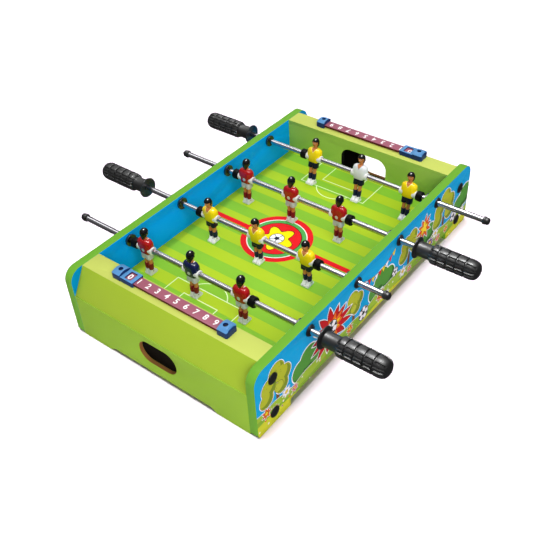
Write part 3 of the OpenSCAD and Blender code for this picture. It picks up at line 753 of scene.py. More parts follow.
def meadow(p):
    """Bushes, trees, bursts, balls and flowers on a meadow under a blue sky."""
    u, v = p.u, p.v
    col = trees(p, srgb(0, 168, 222))

    def wave(stretch, phase):
        return p.sine(p.add(p.mul(u, stretch), phase))

    # meadow, slope and path, with small flowers between
    ground = p.add(33.0, p.add(p.mul(3.4, wave(0.045, 0.5)), p.mul(1.6, wave(0.117, 2.0))))
    col = p.motif(col, p.sub(v, ground), srgb(165, 200, 58), 0.35, 1.3)
    slope = p.add(23.0, p.mul(5.0, wave(0.031, 3.6)))
    col = p.over(col, srgb(140, 184, 54), p.less(v, slope))
    path = p.add(13.5, p.mul(6.0, wave(0.024, 1.2)))
    col = p.over(col, srgb(215, 221, 48), p.less(v, path))
    seeds = p.node("ShaderNodeTexVoronoi", Vector=p.at, Scale=0.11).outputs
    hue = p.node("ShaderNodeSeparateColor", Color=seeds["Color"]).outputs[0]
    bloom = p.both(p.less(seeds["Distance"], 0.17), p.less(v, p.sub(ground, 3.0)))
    tint = p.over(srgb(250, 250, 250), srgb(236, 90, 40), p.more(hue, 0.45))
    tint = p.over(tint, srgb(150, 80, 160), p.more(hue, 0.72))
    col = p.over(col, tint, bloom)
    col = p.over(col, POLLEN, p.both(bloom, p.less(seeds["Distance"], 0.06)))
    # bunting of three dyes between the two middle rods
    drop = p.sub(p.add(72.0, p.mul(p.mul(u, u), 0.0075)), v)
    cell = p.math("DIVIDE", u, 8.5)
    half = p.absolute(p.sub(p.math("FRACT", cell), 0.5))
    flank = p.add(half, p.mul(drop, 0.052))
    flag = p.both(p.within(drop, 0.0, 8.5), p.less(flank, 0.46))
    edge = p.both(p.within(drop, -0.8, 9.3), p.less(flank, 0.5))
    cord = p.less(p.absolute(drop), 0.7)
    strung = p.less(p.absolute(u), 42.5)
    third = p.math("FLOORED_MODULO", p.math("FLOOR", cell), 3.0)
    dye = p.over(srgb(226, 40, 36), srgb(252, 222, 30), p.more(third, 0.5))
    dye = p.over(dye, srgb(250, 250, 250), p.more(third, 1.5))
    col = p.over(col, INK, p.both(strung, p.either(edge, cord)))
    col = p.over(col, dye, p.both(flag, strung))
    # bursts with a ball or a star in the middle
    r, turn = p.polar(-108, 58, 1.25)
    for star, chip, ink, rim in (
        ((24, 46, 13, 0.3), (206, 24, 28), 2.0, 5.0), ((14, 30, 11, 0.8), (240, 120, 24), 0, 0),
        ((9, 22, 9, 0.1), (252, 218, 30), 0, 0),
    ):
        col = p.motif(col, p.burst(r, turn, *star), srgb(*chip), ink, rim)
    col = p.football(col, -108, 58, 12.5, 0.4)
    r, turn = p.polar(120, 68)
    col = p.motif(col, p.burst(r, turn, 9, 21, 10, 0.6), srgb(236, 96, 24), 1.3, 3.4)
    col = p.motif(col, p.burst(r, turn, 4.5, 13, 5, 0.5), srgb(252, 222, 40), 0.9, 0)
    for ball in ((-34, 27, 10.5, 1.1), (212, 33, 9.5, 0.2), (44, 42, 7.0, 0.7)):
        col = p.football(col, *ball)
    for flower in FLOWERS:
        col = p.daisy(col, *flower)
    return col


def side_print(p, base):
    """Blue inside, green rim, and a meadow on the outside of a side panel; past the goal walls the
    inner blue is darker, as painted shade.
    """
    c = colours()
    x, y, z = p.place_mm()
    ax = p.absolute(x)
    p.sheet(p.mul(y, p.math("SIGN", x)), z)
    outside = p.more(ax, OUTER_X / MM - 0.15)
    col = p.over(tuple(c.rim), p.scaled(meadow(p), c.print_strength), outside)
    # painted shade: past the goal walls the inner face takes the darker corner blue
    goal_wall = 206
    past = p.more(p.absolute(y), goal_wall)
    inner = p.over(tuple(c.wall), tuple(c.corner), past)
    return p.over(col, inner, p.less(ax, INNER_X / MM + 0.08))


def end_print(p, base):
    """Lacquer on the face, raw fibre in the cut of the ball hole, and painted shade, near black, on the
    faces inside the end box.
    """
    x, y, z = p.place_mm()
    ay = p.absolute(y)
    hole = p.both(p.within(p.absolute(x), -1.0, 33.0), p.within(z, 20.0, 60.0))
    back, front = 249.4, 254.6
    col = p.over(base, tuple(colours().fibre), p.both(hole, p.within(ay, back, front)))
    # painted shade: the faces inside the end box are near black
    return p.over(col, srgb(30, 26, 22), p.less(ay, back - 0.1))


def goal_print(p, base):
    """Green on the play side, and painted shade, near black, on the side in the box behind the goal."""
    away = p.absolute(p.place_mm()[1])
    # painted shade: near black on the side of the wall that faces into the box
    return p.over(base, srgb(16, 16, 14), p.more(away, FIELD[1][1] / MM + 0.6))


FINISHES = {
    # chip or colour property, rough, spread, amount, mottle, grain, bump, metal, gloss, ior
    "digit_paint": ((250, 246, 246), 0.45, 0.15, 0.03),
    "black_plastic": ("plastic", 0.38, 0.1, 0.3, 120.0, 2200.0, 0.03, 0.0, 1.0, 1.65),
    "rubber": ((10, 10, 11), 0.42, 0.2, 0.3, 120.0, 1800.0, 0.05, 0.0, 0.12),
    "chrome": ((200, 199, 204), 0.22, 0.06, 0.05, 200.0, 2500.0, 0.0, 1.0),
    "dark_steel": ((70, 72, 78), 0.35, 0.2, 0.2, 300.0, 2500.0, 0.05, 0.9),
    "light_steel": ((214, 214, 218), 0.4, 0.15, 0.1, 300.0, 2500.0, 0.03, 0.4),
    "raw_fibreboard": ("fibre", 0.8, 0.1, 0.35, 160.0, 600.0, 0.25),
    # near black on the ball trays: painted shade for the dark inside of the end boxes
    "tray_paint": ((26, 20, 15), 0.75, 0.1, 0.3, 120.0, 700.0, 0.2, 0.0, 0.1),
    "hair_paint": ((6, 6, 6), 0.16, 0.06, 0.4, 300.0, 1400.0, 0.04, 0.0, 0.6),
}


def chosen(entry):
    """Colour of a property given by its name, or of a paint chip."""
    return tuple(getattr(colours(), entry)) if isinstance(entry, str) else srgb(*entry)


def ready(name):
    entry, *settings = FINISHES[name]
    return finish(name, chosen(entry), *settings)


def lacquer(name, colour, draw=None):
    return finish(name, colour, rough=0.4, spread=0.1, amount=0.04, mottle=14.0, grain=700.0,
                  bump=0.03, gloss=0.06, draw=draw)


def moulded(name, colour, rough=0.35):
    return finish(name, colour, rough=rough, spread=0.18, amount=0.06, mottle=90.0, grain=1500.0,
                  bump=0.06, gloss=0.2)


# ---- the pieces ----


class FOOSBALL_OT_boards(bpy.types.Operator):
    """Side panels, end boxes and goal walls, with their edges rounded"""

    bl_idname = "foosball.boards"
    bl_label = "Boards"

    def execute(self, context):
        edge = sizes().board_edge
        c = colours()
        side = lacquer("side_lacquer", c.rim, side_print)
        # the end faces and slopes take darker tones of the lime than the shelves and goal walls:
        # painted shade
        ends = lacquer("end_lacquer", c.end_face, end_print)
        slope = lacquer("slope_lacquer", c.lime)
        shelf = lacquer("shelf_lacquer", c.shelf)
        goal = lacquer("goal_lacquer", c.goal_wall, goal_print)
        plan = [("side_panel_left", side, "panel", edge), ("side_panel_right", side, "panel", edge)]
        for end in ("near", "far"):
            plan += [
                ("end_panel_" + end, ends, "panel", edge * 0.4),
                ("goal_wall_" + end, goal, "panel", edge * 0.6),
                ("end_slope_" + end, slope, "lime", edge * 0.4),
                ("end_top_" + end, shelf, "lime", edge * 0.4),
            ]
        for node, material, slot, width in plan:
            obj = board(node, node + "_board")
            round_edges(obj, width, segments=3)
            paint(obj, material)
            if node.startswith("end_top"):
                paint(obj, goal, lambda co, no: abs(no.y) > 0.9 and abs(co.y) < FIELD[1][1] + 2 * MM)
            smooth(obj, 30)
            hand_over(obj, "table", slot, node)
        for node in ("ball_tray_near", "ball_tray_far", "field_battens", "corner_blocks"):
            obj = board(node, node + "_board")
            round_edges(obj, edge * 0.5)
            # the ball trays take the near black painted shade
            paint(obj, ready("tray_paint" if node.startswith("ball_tray") else "raw_fibreboard"))
            smooth(obj, 30)
            hand_over(obj, "table", "board", node)
        return {"FINISHED"}


class FOOSBALL_OT_field(bpy.types.Operator):
    """Printed field board"""

    bl_idname = "foosball.field"
    bl_label = "Field"

    def execute(self, context):
        obj = board("playfield", "field_board")
        round_edges(obj, sizes().board_edge * 0.3)
        paint(obj, finish("field_print", colours().turf_dark, rough=0.55, spread=0.1, amount=0.03,
                          mottle=20.0, grain=800.0, bump=0.02, gloss=0.08, draw=field_print))
        paint(obj, ready("raw_fibreboard"), lambda co, no: no.z < -0.5)
        smooth(obj, 30)
        hand_over(obj, "table", "field", "playfield")
        return {"FINISHED"}


def rod_middle(key):
    """Middle man's place on a rod, in metres."""
    lo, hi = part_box("man_%s2" % key)
    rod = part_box("rod_" + key)
    return Vector(((lo[0] + hi[0]) / 2, (rod[0][1] + rod[1][1]) / 2, (rod[0][2] + rod[1][2]) / 2))


def rod_place(key):
    lean = getattr(sizes(), "lean_" + key)
    turn = Matrix.Rotation(-lean, 4, "X") @ facing(HANDLE_SIDE[key])
    return Matrix.Translation(rod_middle(key)) @ turn


def half_height(node):
    """Radius of a turned node, in millimetres."""
    lo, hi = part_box(node)
    return (hi[2] - lo[2]) / 2 / MM


def span(node, key):
    """Ends of a node along its rod, in millimetres from the middle man, towards the handle."""
    lo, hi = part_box(node)
    mid = rod_middle(key)[0]
    return sorted(HANDLE_SIDE[key] * (v - mid) / MM for v in (lo[0], hi[0]))


def fit(obj, material, degrees, where):
    """Dresses a turned part in a ready finish and puts it on its rod."""
    paint(obj, ready(material))
    smooth(obj, degrees)
    place(obj, where)


class FOOSBALL_OT_rods(bpy.types.Operator):
    """Polished tubes with their end caps and rubber bumpers"""

    bl_idname = "foosball.rods"
    bl_label = "Rods"

    def execute(self, context):
        for key in RODS:
            where = rod_place(key)
            a, b = span("rod_" + key, key)
            tube = turned("tube_" + key, rounded(
                [(a + 6, 3.0), (a, 3.0), (a, 4.0), (b, 4.0), (b, 3.0), (b - 6, 3.0), (b - 6, 0.0)],
                0.3))
            fit(tube, "chrome", 40, where)
            hand_over(tube, "rod_" + key, "rod", "rod_" + key)
            a, b = span("end_cap_" + key, key)
            r = half_height("end_cap_" + key)
            cap = turned("cap_" + key, rounded(
                [(b - 3, 4.02), (b, 4.02), (b, r - 0.2), (b - 3.4, r), (b - 3.8, r - 0.7),
                 (a + 2.4, r - 0.6), (a + 0.6, r - 2.2), (a, 0.0)],
                [0, 0.2, 0.6, 0.4, 0.4, 1.4, 1.4, 0]))
            fit(cap, "black_plastic", 50, where)
            hand_over(cap, "rod_" + key, "black_plastic", "end_cap_" + key)
            a, b = span("bumpers_" + key, key)
            r = half_height("bumpers_" + key)
            length = sizes().bumper_length / MM
            rings = []
            for inner, outer, k in ((b - length, b, 1), (a + length, a, -1)):
                rings.append(turned("ring", rounded(
                    [(inner, 4.05), (inner, r - 0.2), (outer - k * 1.2, r), (outer, r - 0.9),
                     (outer, 5.2), (outer - k * 0.8, 4.9), (outer - k * 0.8, 4.05), (inner, 4.05)],
                    [0, 0.8, 0.8, 0.6, 0.4, 0.2, 0.2, 0])))
            ring = join("bumper_" + key, rings)
            fit(ring, "rubber", 40, where)
            hand_over(ring, "bumpers_" + key, "bumper", "bumpers_" + key)
        return {"FINISHED"}


class FOOSBALL_OT_handles(bpy.types.Operator):
    """Ribbed grips with guard disc and collar"""

    bl_idname = "foosball.handles"
    bl_label = "Handles"

    def execute(self, context):
        a, b = span("handle_a", "a")
        disc, grip, collar, ring_steps = half_height("handle_a"), 13.25, 10.25, 128
        depth = sizes().groove / MM
        start = b - sizes().grip_length / MM
        points = [(b - 20, 0), (b - 20, 4.02), (a + 2.2, 4.02), (a + 1.8, 6.0), (a + 0.4, disc - 1.6),
                  (a, disc - 0.9), (a + 0.3, disc), (a + 1.7, disc), (a + 3.0, collar + 2.6),
                  (a + 3.6, collar), (start, collar - 0.3), (start + 0.1, collar + 0.6),
                  (start + 3.4, grip)]
        soft = [0, 0, 0.3, 1.0, 0.8, 0.4, 0.5, 0.8, 1.2, 0.8, 0.5, 0.5, 1.6]
        for k in range(4):
            at = start + 11.9 + k * sizes().groove_pitch / MM
            points += [(at - 0.85, grip), (at - 0.65, grip - depth), (at + 0.65, grip - depth),
                       (at + 0.85, grip)]
            soft += [0.6, 0.2, 0.2, 0.6]
        points += [(b - 9.0, grip), (b - 3.4, grip - 2.0), (b - 0.9, grip - 6.4), (b, 4.0), (b, 0)]
        soft += [3.0, 3.0, 3.0, 2.0, 0]
        one = turned("grip", rounded(points, soft), steps=ring_steps)

        def shrink(x):
            """How far the dome has drawn in at a place along the grip."""
            over = max(0.0, x - (b - 11))
            return grip - math.sqrt(max(0.0, grip ** 2 - (over * 1.25) ** 2))

        def in_groove(co, no):
            """Picks four rows of faces for each length groove, off the ring grooves."""
            x, y, z = (v / MM for v in co)
            if not start + 1.2 < x < b - 3.6 or math.hypot(y, z) < grip - depth + 0.25 - shrink(x):
                return False
            cell = math.floor(math.atan2(z, abs(y)) / (2 * math.pi / ring_steps))
            return any(m - 2 <= cell <= m + 1 for m in (-20, -12, -4, 4, 12, 20))

        edit(one)
        pick(in_groove)
        bpy.ops.mesh.inset(thickness=0.0009, depth=-sizes().groove * 0.9, use_boundary=True)
        leave()
        round_edges(one, 0.0004, degrees=40, segments=2)
        edit(one)
        take_all()
        bpy.ops.mesh.dissolve_degenerate(threshold=1e-6)
        leave()
        smooth(one, 45)
        paint(one, ready("black_plastic"))
        for key in RODS:
            obj = own_copy(one, "grip_" + key)
            place(obj, rod_place(key))
            hand_over(obj, "rod_" + key, "black_plastic", "handle_" + key)
        bpy.data.objects.remove(one)
        return {"FINISHED"}


# ---- men ----

KITS = {
    # jersey, trim, shorts, socks and boots of each kit
    "red": ("red", (238, 226, 222), (188, 190, 190), (116, 14, 26), (206, 206, 204)),
    "yellow": ("yellow", (255, 238, 130), (12, 16, 38), (16, 24, 58), (228, 228, 226)),
    "navy": ((16, 22, 70), (236, 236, 236), (188, 190, 190), (116, 14, 26), (206, 206, 204)),
    "white": ((232, 233, 236), (196, 200, 210), (12, 16, 38), (16, 24, 58), (228, 228, 226)),
}


def skin():
    """Skin with painted eyes, brows and mouth, placed on the figure's own coordinates."""

    def features(p, base):
        x, y, z = p.figure_mm()
        ax = p.absolute(x)
        front = p.more(y, 2.5)
        eye = p.less(p.distance(ax, p.mul(z, 1.5), 1.9, 24.3 * 1.5), 0.75)
        pupil = p.less(p.distance(ax, z, 1.8, 24.3), 0.42)
        brow = p.both(p.within(ax, 0.9, 2.9), p.within(p.sub(z, p.mul(ax, 0.1)), 25.1, 25.6))
        mouth = p.both(p.less(ax, 1.3), p.within(p.sub(z, p.mul(p.mul(ax, ax), 0.15)), 21.0, 21.4))
        cheek = p.less(p.distance(ax, z, 2.6, 22.4), 0.9)
        col = p.over(base, srgb(206, 104, 60), p.both(front, p.mul(cheek, 0.5)))
        col = p.over(col, srgb(236, 230, 220), p.both(front, eye))
        for mask in (pupil, brow):
            col = p.over(col, srgb(24, 16, 14), p.both(front, mask))
        return p.over(col, srgb(120, 40, 30), p.both(front, mouth))

    return finish("skin_paint", colours().skin, rough=0.35, spread=0.1, amount=0.08, mottle=240.0,
                  grain=1500.0, bump=0.03, gloss=0.25, draw=features)


def jersey(kit):
    """Team colour with a V neck, trim on neck and cuffs, painted shade darker towards the hem, and a
    painted highlight in a light band over the upper back.
    """
    shirt, trim = chosen(KITS[kit][0]), chosen(KITS[kit][1])
    bare = tuple(colours().skin)

    def cloth(p, base):
        x, y, z = p.figure_mm()
        ax = p.absolute(x)
        # painted shade: the jersey grows darker towards the hem
        low = p.math("DIVIDE", p.sub(6.0, z), 18.0, clamp=True)
        col = p.over(base, tuple(v * 0.55 for v in base), low)
        cuff = p.both(p.more(ax, 9.4), p.less(z, 3.7))
        front = p.more(y, 0.5)
        edge = p.sub(z, p.mul(ax, 1.55))
        col = p.over(col, trim, p.mul(cuff, 0.8))
        col = p.over(col, trim, p.both(front, p.more(edge, 8.3)))
        col = p.over(col, bare, p.both(front, p.more(edge, 9.8)))
        # painted highlight: a light band in the trim colour over the upper back
        back = p.both(p.less(y, -0.5), p.more(p.sub(z, p.mul(ax, 0.2)), 15.4))
        return p.over(col, trim, back)

    return finish("jersey_" + kit, shirt, rough=0.2, spread=0.08, amount=0.06, mottle=180.0,
                  grain=1500.0, bump=0.05, gloss=0.5, draw=cloth)


def head_piece():
    """Head with brow, nose and jaw under a thick cap of hair that runs down the nape."""
    clear()
    bpy.ops.mesh.primitive_uv_sphere_add(segments=40, ring_count=28, radius=1 * MM)
    head = bpy.context.active_object
    edit(head)
    take_all()
    bpy.ops.transform.resize(value=(4.7, 5.3, 6.2), center_override=(0, 0, 0))
    mesh = bpy.context.object.data
    bm = bmesh.from_edit_mesh(mesh)
    for v in bm.verts:
        low = max(0.0, -v.co.z / (6.2 * MM))
        v.co.x *= 1 - 0.25 * low
        v.co.y += (0.9 * low if v.co.y > 0 else -0.4 * low) * MM
    bmesh.update_edit_mesh(mesh)
    pick(lambda co, no: abs(co.x) < 0.8 * MM and co.y > 4 * MM and -2.2 * MM < co.z < 0.2 * MM)
    bpy.ops.mesh.extrude_region_shrink_fatten(TRANSFORM_OT_shrink_fatten={"value": 0.9 * MM})
    bpy.ops.transform.resize(value=(0.6, 1, 0.6), center_override=(0, 0, -1.4 * MM))

    def under_hair(co, no):
        x, y, z = (v / MM for v in co)
        return z > 1.5 + 0.12 * y or y < -0.2 or (y < 1.3 and z > -1.2)

    pick(under_hair)
    bpy.ops.mesh.extrude_region_shrink_fatten(TRANSFORM_OT_shrink_fatten={"value": 0.6 * MM})
    bpy.ops.mesh.extrude_region_shrink_fatten(TRANSFORM_OT_shrink_fatten={"value": 0.6 * MM})
    bpy.ops.transform.resize(value=(0.98, 0.98, 0.98), center_override=(0, 0, 0))
    leave()
    paint(head, skin())
    paint(head, ready("hair_paint"), lambda co, no: under_hair(co, no) and co.length > 5.0 * MM
          or Vector((co.x / 4.7, co.y / 5.3, co.z / 6.2)).length > 1.07 * MM and co.y < 5 * MM)
    place(head, Matrix.Translation((0, 1.2 * MM, 24.5 * MM)))
    nape = grown("nape", [
        (14.9, 1.4, 1.1, 0, -2.1), (16.2, 2.3, 1.6, 0, -2.2), (18.4, 3.4, 2.4, 0, -2.0),
        (21.0, 4.9, 3.2, 0, -1.3), (23.0, 5.4, 3.6, 0, -0.8),
    ], sides=24)
    paint(nape, ready("hair_paint"))
    neck = grown("neck", [
        (12.0, 3.8, 3.4, 0, 0.1), (15.4, 3.2, 3.0, 0, 0.4), (17.6, 3.0, 2.9, 0, 0.7),
        (20.5, 3.0, 3.2, 0, 1.1),
    ], sides=24)
    paint(neck, skin())
    parts = [head, nape, neck]
    for side in (-1, 1):
        ear = grown("ear", [
            (22.6, 0.4, 0.5, 4.9, 0.9), (23.3, 0.55, 0.9, 5.1, 0.9), (24.6, 0.55, 1.0, 5.2, 0.7),
            (25.3, 0.35, 0.5, 5.0, 0.7),
        ], sides=12, mirror=side)
        paint(ear, skin())
        parts.append(ear)
    head = join("head", parts)
    smooth(head, 60)
    return head


def jersey_piece(kit):
    """Jersey: full chest, narrow waist and short sleeves that hang over the hub."""
    chest = grown("chest", [
        (-6.5, 8.0, 5.5), (-5.8, 8.6, 5.9), (-2.0, 9.1, 6.0), (3.0, 9.5, 6.2, 0, 0.1),
        (8.0, 9.7, 6.4, 0, 0.1), (11.0, 9.6, 6.1, 0, 0.1), (13.4, 8.6, 5.4, 0, 0.1),
        (14.9, 6.4, 4.4, 0, 0.1), (15.6, 3.9, 3.5, 0, 0.2),
    ], boxy=0.5)
    parts = [chest]
    for side in (-1, 1):
        arm = grown("sleeve", [
            (1.6, 2.0, 4.2, 9.3, 0), (2.0, 2.6, 5.0, 9.3, 0), (3.2, 2.7, 5.2, 9.3, 0),
            (3.4, 2.5, 5.0, 9.3, 0), (7.0, 2.8, 5.2, 9.1, 0), (10.5, 3.0, 5.1, 8.8, 0),
            (12.8, 2.7, 4.5, 8.2, 0), (14.4, 1.8, 3.3, 7.2, 0), (15.0, 0.8, 1.8, 6.4, 0),
        ], sides=32, mirror=side)
        parts.append(arm)
    obj = join("jersey", parts)
    round_edges(obj, 0.4 * MM, degrees=50, segments=2)
    smooth(obj, 70)
    paint(obj, jersey(kit))
    return obj


def shorts_piece(kit):
    """Shorts: one seat that parts into two wide legs."""
    parts = [grown("seat", [
        (-11.5, 7.6, 5.2), (-9.0, 7.8, 5.4), (-5.8, 7.6, 5.1),
    ], boxy=0.6)]
    for side in (-1, 1):
        parts.append(grown("leg", [
            (-16.0, 3.4, 4.7, 4.1, 0), (-15.7, 3.8, 5.2, 4.1, 0), (-12.6, 3.8, 5.3, 3.95, 0),
            (-9.0, 3.7, 5.2, 3.85, 0),
        ], boxy=0.65, mirror=side))
    obj = join("shorts", parts)
    round_edges(obj, 0.35 * MM, degrees=50, segments=2)
    smooth(obj, 60)
    paint(obj, moulded("shorts_" + kit, chosen(KITS[kit][2]), 0.36))
    return obj


def legs_piece(kit):
    """Bare knees, socks with a turned-over top, and two boots on their block."""
    parts = []
    sock = moulded("sock_" + kit, chosen(KITS[kit][3]), 0.36)
    boot = moulded("boot_" + kit, chosen(KITS[kit][4]), 0.3)
    for side in (-1, 1):
        knee = grown("knee", [
            (-27.0, 2.3, 2.8, 3.3, 0.2), (-23.6, 2.6, 3.2, 3.35, 0.5), (-20.6, 2.6, 3.2, 3.5, 0.2),
            (-15.6, 3.1, 3.9, 3.8, 0),
        ], sides=24, mirror=side)
        paint(knee, skin())
        hose = grown("hose", [
            (-38.6, 2.8, 3.3, 3.2, 0.3), (-36.0, 2.7, 3.2, 3.2, 0.2), (-32.5, 3.1, 3.9, 3.25, -0.2),
            (-28.6, 3.15, 4.0, 3.3, -0.1), (-27.2, 3.0, 3.8, 3.3, 0.1),
            (-27.1, 3.35, 4.1, 3.3, 0.1), (-25.4, 3.3, 4.0, 3.35, 0.1),
        ], sides=28, mirror=side)
        round_edges(hose, 0.25 * MM, degrees=40, segments=2)
        paint(hose, sock)
        shoe = grown("boot", [
            (-41.0, 2.9, 6.3, 3.1, 1.3), (-40.1, 2.95, 6.2, 3.1, 1.3), (-39.1, 2.85, 5.5, 3.1, 0.9),
            (-38.1, 2.75, 4.6, 3.1, 0.4), (-36.9, 2.75, 3.8, 3.15, 0.1),
            (-35.5, 2.95, 3.6, 3.2, 0.1), (-35.3, 2.6, 3.3, 3.2, 0.1),
        ], boxy=0.5, mirror=side)
        round_edges(shoe, 0.4 * MM, degrees=30, segments=2)
        paint(shoe, boot)
        parts += [knee, hose, shoe]
    block = grown("block", [
        (-43.0, 6.2, 6.7, 0, 1.3), (-40.7, 6.3, 6.8, 0, 1.3),
    ], boxy=0.16)
    edit(block)
    pick(lambda co, no: abs(no.y) > 0.95)
    bpy.ops.mesh.inset(thickness=0.5 * MM, depth=-0.25 * MM)
    leave()
    round_edges(block, 0.3 * MM, degrees=40, segments=2)
    paint(block, boot)
    obj = join("legs", parts + [block])
    smooth(obj, 50)
    return obj


def hub_piece():
    """White tube with round ends that sits on the rod."""
    half, bore, outer = 13.5, 4.05, 5.6
    profile = [(-half, bore), (-half, outer), (half, outer), (half, bore), (-half, bore)]
    hub = turned("hub", rounded(profile, [0, 0.9, 0.9, 0.1, 0]), steps=40)
    paint(hub, moulded("hub_plastic", srgb(226, 226, 224), 0.25))
    smooth(hub, 60)
    return hub


def man(kit):
    """One man, 74 mm tall, facing +Y with the rod along X through the origin."""
    pieces = [head_piece(), jersey_piece(kit), shorts_piece(kit), legs_piece(kit), hub_piece()]
    obj = join("man_" + kit, pieces)
    own = obj.data.attributes.new("figure", "FLOAT_VECTOR", "POINT")
    for v in obj.data.vertices:
        own.data[v.index].vector = v.co / MM
    return obj


KIT_OF = {"a": ("red", "navy", "red"), "b": ("yellow", "yellow", "yellow"),
          "c": ("red", "red", "red"), "d": ("yellow", "white", "yellow")}


class FOOSBALL_OT_men(bpy.types.Operator):
    """Twelve men in four kits on the four rods"""

    bl_idname = "foosball.men"
    bl_label = "Men"

    def execute(self, context):
        masters = {kit: man(kit) for kit in KITS}
        for key in RODS:
            middle = rod_middle(key)
            for number, kit in zip((1, 2, 3), KIT_OF[key]):
                node = "man_%s%d" % (key, number)
                lo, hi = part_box(node)
                along = HANDLE_SIDE[key] * ((lo[0] + hi[0]) / 2 - middle[0])
                obj = own_copy(masters[kit], "figure_%s%d" % (key, number))
                place(obj, rod_place(key) @ Matrix.Translation((along, 0, 0)))
                hand_over(obj, "rod_" + key, "man_" + kit, node)
        for obj in masters.values():
            bpy.data.objects.remove(obj)
        for key in RODS:
            refinish("man_screws_" + key, ready("light_steel"))
        return {"FINISHED"}


# ---- hardware ----


class FOOSBALL_OT_bushings(bpy.types.Operator):
    """Flanged bushings inside and clamp rings outside each side panel"""

    bl_idname = "foosball.bushings"
    bl_label = "Bushings"

    def execute(self, context):
        face, back = (corner[0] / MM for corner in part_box("bushings_right"))
        wall, outer, rim = INNER_X / MM, OUTER_X / MM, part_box("bushing_rings")[1][0] / MM
        bush = rounded(
            [(face + 1.5, 4.06), (face + 0.2, 6.6), (face, 7.7), (face - 1.2, 8.0), (face - 1.2, 8.8),
             (wall, 8.2), (wall, 6.0), (back, 6.0), (back - 0.8, 4.06), (face + 1.5, 4.06)],
            [0, 0.4, 0.2, 0.3, 0.4, 0.2, 0.2, 0.3, 0.1, 0])
        clamp = rounded(
            [(outer, 6.1), (outer, 8.0), (outer + 0.9, 7.9), (rim, 6.9), (rim, 6.1), (outer, 6.1)],
            [0, 0.3, 0.4, 0.4, 0.2, 0])
        for name, profile, sides, node in (
            ("bush_right", bush, (1,), "bushings_right"), ("bush_left", bush, (-1,), "bushings_left"),
            ("clamp_rings", clamp, (1, -1), "bushing_rings"),
        ):
            parts = []
            for side in sides:
                for key in RODS:
                    part = turned("ring", profile, steps=48)
                    _, y, z = rod_middle(key)
                    place(part, Matrix.Translation((0, y, z)) @ facing(side))
                    parts.append(part)
            obj = join(name, parts)
            paint(obj, ready("black_plastic"))
            smooth(obj)
            hand_over(obj, "table", "black_plastic", node)
        return {"FINISHED"}


class FOOSBALL_OT_caps(bpy.types.Operator):
    """Domed caps over the panel screws"""

    bl_idname = "foosball.caps"
    bl_label = "Screw caps"

    def execute(self, context):
        lo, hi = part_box("screw_caps")
        outer, top, radius = OUTER_X / MM, hi[0] / MM, 0.008
        dome = rounded(
            [(outer + 0.02, 0), (outer + 0.02, 7.6), (outer + 0.1, 8.0), (outer + 0.9, 7.9),
             (outer + 1.9, 6.2), (outer + 2.7, 3.4), (top, 0)],
            [0, 0.1, 0.3, 0.8, 1.4, 1.6, 0])
        parts = []
        for side in (1, -1):
            for y in (lo[1] + radius, hi[1] - radius):
                for z in (lo[2] + radius, hi[2] - radius):
                    cap = turned("cap", dome, steps=40)
                    place(cap, Matrix.Translation((0, y, z)) @ facing(side))
                    parts.append(cap)
        obj = join("screw_cap_set", parts)
        paint(obj, ready("black_plastic"))
        smooth(obj, 60)
        hand_over(obj, "table", "black_plastic", "screw_caps")
        refinish("panel_screws", ready("dark_steel"))
        return {"FINISHED"}


